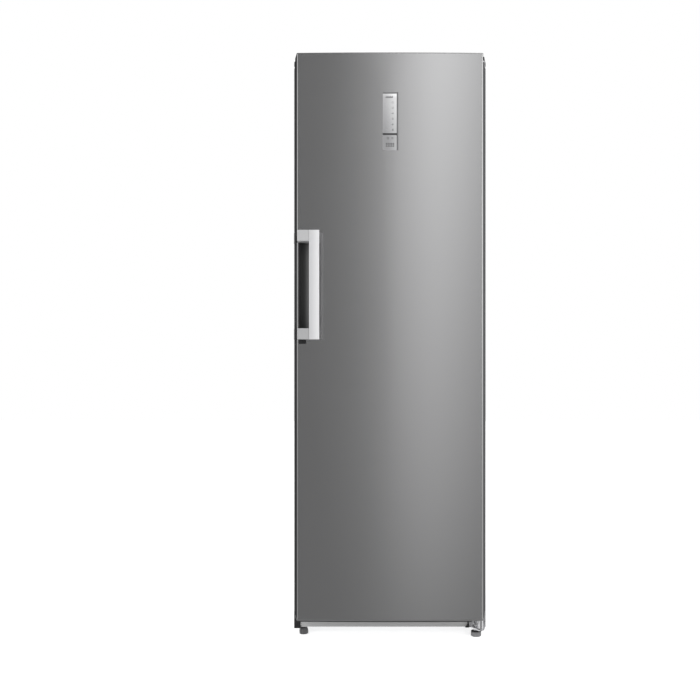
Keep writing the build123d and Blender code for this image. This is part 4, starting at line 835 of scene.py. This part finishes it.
# Door gasket: a soft bellows with a magnetic crown, carried round the door's inner edge.
# Each point is (how far in from the gasket's outline, how far from the door)
low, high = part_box("door_gasket")
crown = high.y - low.y
bellows = [
    (0.0010, 0.0), (0.0190, 0.0), (0.0200, 0.0012), (0.0188, 0.0030), (0.0150, 0.0038), (0.0160, 0.0052),
    (0.0166, 0.0062), (0.0160, 0.0078), (0.0150, crown), (0.0050, crown), (0.0040, 0.0078),
    (0.0034, 0.0062), (0.0040, 0.0052), (0.0050, 0.0038), (0.0012, 0.0030), (0.0, 0.0012),
]
seal = upright(rings(low.x, high.x, low.z, high.z, 0.003, bellows, 3), low.y)
piece("gasket_bellows", [seal], "gasket", "door", "door_gasket", loop=True)

# Condenser: one tube bent back and forth, with thin wires welded to both of its sides
low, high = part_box("condenser_coil")
coil_radius, coil_side, coil_y = 0.0026, 0.230, middle("condenser_coil").y
passes = np.linspace(low.z + coil_radius, high.z - coil_radius, 8)
coil = tube(serpentine(coil_side, coil_y, passes, 0.030), coil_radius)
piece("condenser_tube", [coil], "black_metal", "cabinet", "condenser_coil")
low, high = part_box("condenser_wires")
wire_radius, wire_count = 0.0009, 49
wires = []
for y in (coil_y - coil_radius - wire_radius, coil_y + coil_radius + wire_radius):
    wire = tube(np.linspace((0, y, low.z), (0, y, high.z), 2), wire_radius, 6)
    wires += [wire + (x, 0, 0) for x in np.linspace(low.x + 0.001, high.x - 0.001, wire_count)]
piece("condenser_grid", wires, "black_metal", "cabinet", "condenser_wires")

# Refrigerant pipes with soldered sleeves, and the dryer on the liquid line
can_low, can_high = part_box("compressor")
can_x, can_y = middle("compressor").x, middle("compressor").y
hot_x, dryer_x, suction_x = 0.256, 0.243, 0.217
riser_y, bay_top = 0.257, 0.2618
hot_level, cold_level = 0.110, 0.170
pipe_radius = 0.0032
hot = [(coil_side, coil_y, passes[-1]), (hot_x, coil_y, passes[-1]), (hot_x, coil_y, hot_level)]
hot += [(hot_x, can_y, hot_level), (can_x + 0.060, can_y, hot_level)]
liquid = [(coil_side, coil_y, passes[0]), (dryer_x, coil_y, passes[0]), (dryer_x, coil_y, cold_level)]
liquid += [(dryer_x, riser_y, cold_level), (dryer_x, riser_y, bay_top)]
suction = [(can_x + 0.070, can_y, cold_level), (suction_x, can_y, cold_level), (suction_x, can_y, bay_top)]
pipe_runs = ((hot, 0.011), (liquid, 0.011), (suction, 0.022))
pipes = [tube(bent_route(points, bend), pipe_radius, 16) for points, bend in pipe_runs]
dryer_foot, dryer_head = 0.287, 0.363
quarter = np.linspace(0, np.pi / 2, 7)
neck = [(0.004 + 0.004 * np.sin(a), 0.010 * a / (np.pi / 2)) for a in quarter]
dryer = [(0.0035, dryer_foot - 0.002)] + [(radius, dryer_foot + along) for radius, along in neck]
dryer += [(radius, dryer_head - along) for radius, along in neck[::-1]] + [(0.0035, dryer_head + 0.002)]
pipes.append(turned(dryer, (dryer_x, coil_y, 0), sides=28))
sleeve = [(0.0033, 0.0), (0.0042, 0.001), (0.0042, 0.017), (0.0033, 0.018)]
for spot in ((hot_x, coil_y, 0.900), (dryer_x, coil_y, 0.235), (suction_x, can_y, 0.225)):
    pipes.append(turned(sleeve, spot, sides=20))
piece("copper_pipes", pipes, "copper", "cabinet", "refrigerant_pipes")

# Compressor: two pressed shells with a welded rim on a mounting plate, which stands on ribbed rubber mounts
plate_top = can_low.z + 0.003
quarter = np.linspace(0, np.pi / 2, 9)
weld = [(0.0740, 0.0875), (0.0765, 0.0890), (0.0780, 0.0915)]
weld += [(0.0780, 0.0945), (0.0765, 0.0960), (0.0735, 0.0970)]
can = [(0.045 + 0.029 * np.sin(a), plate_top + 0.022 * (1 - np.cos(a))) for a in quarter]
can += [(radius, plate_top + rise) for radius, rise in weld]
can += [(0.026 + 0.048 * np.cos(a), can_high.z - 0.034 * (1 - np.sin(a))) for a in quarter]
edge = [(0.0008, can_low.z), (0, can_low.z + 0.0008), (0, plate_top - 0.0008), (0.0008, plate_top)]
plate = rings(can_low.x, can_high.x, can_y - 0.065, can_y + 0.065, 0.012, edge)
shells = turned(can, (can_x, can_y, 0), sides=72)
piece("compressor_can", [shells, plate], "black_metal", "cabinet", "compressor")
mount_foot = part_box("compressor_mounts")[0].z
grommet = [(0.0088, 0.0), (0.0104, 0.0008), (0.0108, 0.0022), (0.0092, 0.0042), (0.0104, 0.0062)]
grommet += [(0.0104, 0.0072), (0.0088, 0.0090), (0.0098, 0.0112), (0.0096, 0.0128), (0.0084, 0.0140)]
washer = [(0.0070, 0.0), (0.0080, 0.0006), (0.0080, 0.0022), (0.0068, 0.0030), (0.0030, 0.0026)]
spots = [(x, y) for x in (can_x - 0.084, can_x + 0.084) for y in (can_y - 0.051, can_y + 0.051)]
mounts = [turned(grommet, (*spot, mount_foot), sides=28) for spot in spots]
mounts += [turned(washer, (*spot, plate_top), sides=24) for spot in spots]
piece("rubber_mounts", mounts, "rubber", "cabinet", "compressor_mounts")

# Cord gland: a flanged rubber bush, open through its middle and held by a barb behind the tray's wall
low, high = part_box("cord_gland")
spot = middle("cord_gland")
outside = [(0.0044, low.y), (0.0080, low.y), (0.0088, low.y + 0.0018), (0.0076, low.y + 0.0026)]
outside += [(0.0076, high.y - 0.0024), (0.0112, high.y - 0.0024)]
outside += [(0.0118, high.y - 0.0018), (0.0112, high.y - 0.0004)]
bore = [(0.0104, high.y), (0.0052, high.y), (0.0041, high.y - 0.0010), (0.0040, low.y + 0.0008)]
bush = turned(outside + bore, (spot.x, 0, spot.z), axis=1, sides=36)
piece("gland_bush", [bush], "rubber", "cabinet", "cord_gland", loop=True)

# Left foot: a knob with eight lobes, its radius less a groove's depth times (1 - cos 8 t) / 2
stem_top, lobe_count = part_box("front_foot_left")[1].z, 8
spot = middle("front_foot_left")
knob = [(0.0120, 0.0), (0.0136, 0.0008), (0.0140, 0.0025), (0.0140, 0.0115), (0.0134, 0.0140)]
knob = np.array(knob + [(0.0118, 0.0180), (0.0100, 0.0212), (0.0090, 0.0220)])
lobes = turned(knob, (0, 0, 0), sides=96)
way = np.arctan2(lobes[..., 1], lobes[..., 0])
groove = np.interp(knob[:, 1], [0.0, 0.002, 0.012, 0.022], [0.04, 0.10, 0.10, 0.0])[:, None]
lobes[..., :2] *= (1 - groove * (1 - np.cos(lobe_count * way)) / 2)[..., None]
lobes += (spot.x, spot.y, 0)
grids = [lobes, collar(spot.x, spot.y, 0.0219, 0.0237), stem(spot.x, spot.y, 0.0236, stem_top)]
piece("left_foot_knob", grids, "knob", "left_foot", "front_foot_left", slot="black_plastic")

# Right foot: a smooth grey pad whose top is a black cap, which paints the shade under the hinge plate
stem_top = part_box("front_foot_right")[1].z
spot = middle("front_foot_right")
sole = [(0.0126, 0.0), (0.0146, 0.0005), (0.0158, 0.0018), (0.0162, 0.0042)]
sole += [(0.0162, 0.0132), (0.0160, 0.0142), (0.0154, 0.0148)]
# The black cap paints the shade on the pad's top
cap = [(0.0153, 0.0149), (0.0156, 0.0156), (0.0150, 0.0166), (0.0136, 0.0170), (0.0060, 0.0172)]
sole, cap = (turned(profile, (spot.x, spot.y, 0), sides=64) for profile in (sole, cap))
piece("right_foot_pad", [sole], "grey_plastic", "right_foot", "front_foot_right")
piece("right_foot_shade_top", [cap], "black_plastic", "right_foot")
grids = [collar(spot.x, spot.y, 0.0171, 0.0257), stem(spot.x, spot.y, 0.0256, stem_top)]
piece("right_foot_stem", grids, "steel", "right_foot")

# Rear rollers: a ribbed tyre on a dished hub, open along its axle.
# Each point is (radius, how far along the axle)
half_tyre = [(0.0034, 0.0062), (0.0060, 0.0064), (0.0070, 0.0050), (0.0110, 0.0050), (0.0120, 0.0064)]
half_tyre += [(0.0140, 0.0063), (0.0149, 0.0054), (0.0150, 0.0040), (0.0150, 0.0008)]
tyre = [(radius, -x) for radius, x in half_tyre] + [(0.0146, 0.0)] + half_tyre[::-1]
for side in ("left", "right"):
    node, body = "rear_roller_" + side, side + "_roller"
    wheel = turned(tyre, middle(node), axis=0, sides=48)
    piece(body + "_wheel", [wheel], "grey_plastic", body, node, loop=True)

# Fan: a dished hub with seven twisted blades, each a thin oval section that turns along the blade
low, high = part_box("evaporator_fan")
fan_z, blade_count = 0.760, 7
hub_radius, blade_length = 0.0165, 0.0313
hub = [(0.0030, 0.0), (hub_radius, 0.0), (0.0178, 0.0010), (0.0180, 0.0080), (0.0170, 0.0135)]
hub += [(0.0140, 0.0155), (0.0090, 0.0160), (0.0030, 0.0160)]
spinner = turned([(radius, high.y - depth) for radius, depth in hub], (0, 0, fan_z), axis=1, sides=40)
u = np.linspace(0, 1, 9)[:, None]
v = np.linspace(0, 2 * np.pi, 24, endpoint=False)
pitch = np.radians(54 - 16 * u)
along, across = (0.011 - 0.002 * u) * np.cos(v), 0.0009 * np.sin(v) + 0.0016 * np.cos(2 * v)
reach = hub_radius + blade_length * u + 0 * v
depth = (low.y + high.y) / 2 + along * np.cos(pitch) - across * np.sin(pitch)
sideways = along * np.sin(pitch) + across * np.cos(pitch)
blades = []
for way in 2 * np.pi * np.arange(blade_count) / blade_count:
    x, z = reach * np.cos(way) - sideways * np.sin(way), reach * np.sin(way) + sideways * np.cos(way)
    blades.append(np.stack([x, depth, fan_z + z], axis=-1))
piece("cooling_fan_wheel", [spinner, *blades], "grey_plastic", "cooling_fan", "evaporator_fan")

# Evaporator: thin fins on a tube that runs to and fro behind the air duct
low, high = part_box("evaporator")
half_fin, fin_count, tube_y = 0.0005, 44, 0.247
fins = [
    pad(x - half_fin, x + half_fin, low.y, high.y, low.z, high.z, 0.0004, 0.0002)
    for x in np.linspace(low.x + 0.004, high.x - 0.004, fin_count)
]
levels = np.linspace(low.z + 0.02, high.z - 0.02, 8)
fin_tube = tube(serpentine(0.168, tube_y, levels, 0.010), 0.0040)
piece("evaporator_fins", [*fins, fin_tube], "aluminium", "cabinet", "evaporator")

# Lamp: a diffuser with ridges along its length, a half oval (cos^0.35, sin^0.55) that shrinks at both ends
low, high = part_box("lamp")
half_y, drop, ridge_count = (high.y - low.y) / 2, high.z - low.z, 24
wave = np.linspace(0, 2 * np.pi, 96, endpoint=False)
round_y = np.sign(np.cos(wave)) * abs(np.cos(wave)) ** 0.35 * half_y
ridge = drop - 0.0006 * (1 + np.cos(ridge_count * wave))
round_z = np.where(np.sin(wave) < 0, -abs(np.sin(wave)) ** 0.55 * ridge, 0)
stations = [(low.x, 0.6), (low.x + 0.002, 0.95), (low.x + 0.006, 1.0)]
stations += [(high.x - 0.006, 1.0), (high.x - 0.002, 0.95), (high.x, 0.6)]
x, size = np.array(stations)[:, :1], np.array(stations)[:, 1:]
diffuser = np.stack([x + 0 * wave, middle("lamp").y + size * round_y, high.z + size * round_z], axis=-1)
piece("lamp_diffuser", [diffuser], "clear", "cabinet", "lamp")

# Screws that show: hinge plate in front, back panel, and air duct
hinge_head, panel_head = 0.0046, 0.0042
face, hinge_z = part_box("case_screws")[0].y + 0.0020, 0.044
heads = [screw_head((x, face, hinge_z), -1, hinge_head) for x in (0.256, 0.286)]
piece("hinge_screw_heads", heads, "steel", "cabinet", crease=25)
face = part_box("back_panel")[1].y
spots = [(side * 0.286, z) for side in (-1, 1) for z in np.linspace(0.30, 1.73, 6)]
spots += [(x, z) for x in (-0.12, 0.12) for z in (0.275, 1.755)]
heads = [screw_head((x, face, z), 1, panel_head) for x, z in spots]
piece("back_panel_screws", heads, "steel", "cabinet", crease=25)
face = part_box("rear_duct")[0].y
spots = [(x, z) for x in (-0.195, 0.195) for z in (0.36, 0.98, 1.62)]
heads = [screw_head((x, face, z), -1, panel_head) for x, z in spots]
piece("duct_screws", heads, "white_plastic", "cabinet", crease=25)

# Door's shadow strip: a thin black strip under its front that paints the shadow gap below the door; it
# follows the door's bow, y = bow (x / bend_x)^2
door_bow, bend_x, set_back = 0.006, 0.2835, 0.0012
skin_front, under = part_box("door_skin")[0].y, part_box("door_bottom_cap")[0].z
x = np.linspace(-bend_x, 0.250, 33)[:, None]
section = [(0.0004, 0.0), (0.0, -0.0005), (0.0, -0.0026), (0.0005, -0.0031), (0.0045, -0.0031)]
section = np.array(section + [(0.0050, -0.0026), (0.0050, 0.0)]).T
front = skin_front + set_back + door_bow * (x / bend_x) ** 2
strip = np.stack([x + 0 * section[0], front + section[0], under + section[1] + 0 * x], axis=-1)
piece("door_shadow_strip", [strip], "black_plastic", "door")

# A black tab under the handle's lower bracket, which paints the bracket's shadow on the door
low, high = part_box("handle_brackets")
bevel = [(0.0006, 0.0), (0.0, 0.0006), (0.0, 0.0034), (0.0006, 0.0040)]
tab = rings(low.x + 0.0005, low.x + 0.0225, low.z - 0.0135, low.z, 0.0015, bevel, 3)
piece("handle_bracket_shadow", [upright(tab, high.y - 0.0065)], "black_plastic", "door")

# A black wedge at the rail's end beside the hinge, which paints the shade under the rail's end.
# Each layer is (the outline's size, its depth)
outline = [(0.2335, 0.0242), (0.2456, 0.0237), (0.2456, 0.0330), (0.2425, 0.0332), (0.2385, 0.0312)]
layers = [(0.93, -0.2350), (1.0, -0.2345), (1.0, -0.2307), (0.93, -0.2302)]
centre = np.mean(outline, axis=0)
wedge = np.empty((len(layers), len(outline), 3))
for layer, (size, y) in zip(wedge, layers):
    layer[:, ::2] = centre + (np.array(outline) - centre) * size
    layer[:, 1] = y
piece("rail_end_shade_wedge", [wedge], "black_plastic", "cabinet")

# Grey lip round the display's frame, above it and on its right, which paints the shade at the frame's edge
low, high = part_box("display_frame")
lip_y, above, lip = low.y - 0.0006, 0.0032, [(0.0002, 0.0), (0.0, 0.0002), (0.0, 0.0004)]
right_edge = rings(high.x, high.x + 0.0036, low.z, high.z + above, 0.0008, lip, 3)
top_edge = rings(low.x + 0.002, high.x, high.z + 0.0008, high.z + above, 0.0008, lip, 3)
shade_lip = [upright(edge, lip_y) for edge in (right_edge, top_edge)]
piece("display_shade_lip", shade_lip, "shade_lip", "door", slot="grey_plastic")

# Marks on the display, all of one thickness: on the window a divider, a scale of ticks and six settings with
# their dots, and on the touch part a ring, a star and dashes
mark = 0.0001


def print_block(left, right, low, high, y, corner=0.0005):
    """A printed block with rounded corners on an upright face."""
    return upright(pad(left, right, low, high, 0, mark, corner, 0.00002), y)


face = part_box("display_window")[0].y - mark
scale_left, scale_right, scale_foot = -0.0125, 0.0070, 1.6517
setting_levels = np.linspace(1.6380, 1.5545, 6)
divider = print_block(low.x, high.x, 1.5426, 1.5446, face, 0.0002)
ticks = [
    print_block(x, x + 0.0018, scale_foot, scale_foot + 0.0039 + 0.0016 * (k % 2), face)
    for k, x in enumerate(np.linspace(scale_left, scale_right, 8))
]
piece("scale_ticks", [divider, *ticks], "dark_print", "door", slot="black_plastic")
for number, level in zip("234568", setting_levels):
    number_mark("setting_" + number, number, (0.0090, face, level), 0.0060)
dots = [print_block(0.0036, 0.0050, z - 0.0008, z + 0.0008, face, 0.0006) for z in setting_levels]
piece("setting_dots", dots, "grey_print", "door", slot="black_plastic")
symbol_z, ring_x, star_x = 1.5297, -0.0060, 0.0076
ring_radius, ring_width, ray_count = 0.0035, 0.0012, 6
section = [(0, 0), (ring_width, 0), (ring_width, mark), (0, mark)]
ring_box = (ring_x - ring_radius, ring_x + ring_radius, symbol_z - ring_radius, symbol_z + ring_radius)
ring = upright(rings(*ring_box, ring_radius, section), face)
piece("touch_ring", [ring], "grey_print", "door", slot="black_plastic", loop=True)
ray = pad(0.0012, 0.0037, -0.0006, 0.0006, 0, mark, 0.0005, 0.00002)
star = []
for way in 2 * np.pi / ray_count * np.arange(ray_count):
    x = ray[..., 0] * np.cos(way) - ray[..., 1] * np.sin(way)
    z = ray[..., 0] * np.sin(way) + ray[..., 1] * np.cos(way)
    star.append(np.stack([star_x + x, face + ray[..., 2], symbol_z + z], axis=-1))
piece("touch_star", star, "grey_print", "door", slot="black_plastic")
dash_width, dash_height = 0.0044, 0.0030
dashes = [
    print_block(x, x + dash_width, z, z + dash_height, face, 0.0010)
    for x in np.linspace(-0.0125, 0.0087, 5) for z in (1.5036, 1.5078, 1.5120)
]
piece("touch_dashes", dashes, "grey_print", "door", slot="black_plastic")

low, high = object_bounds()
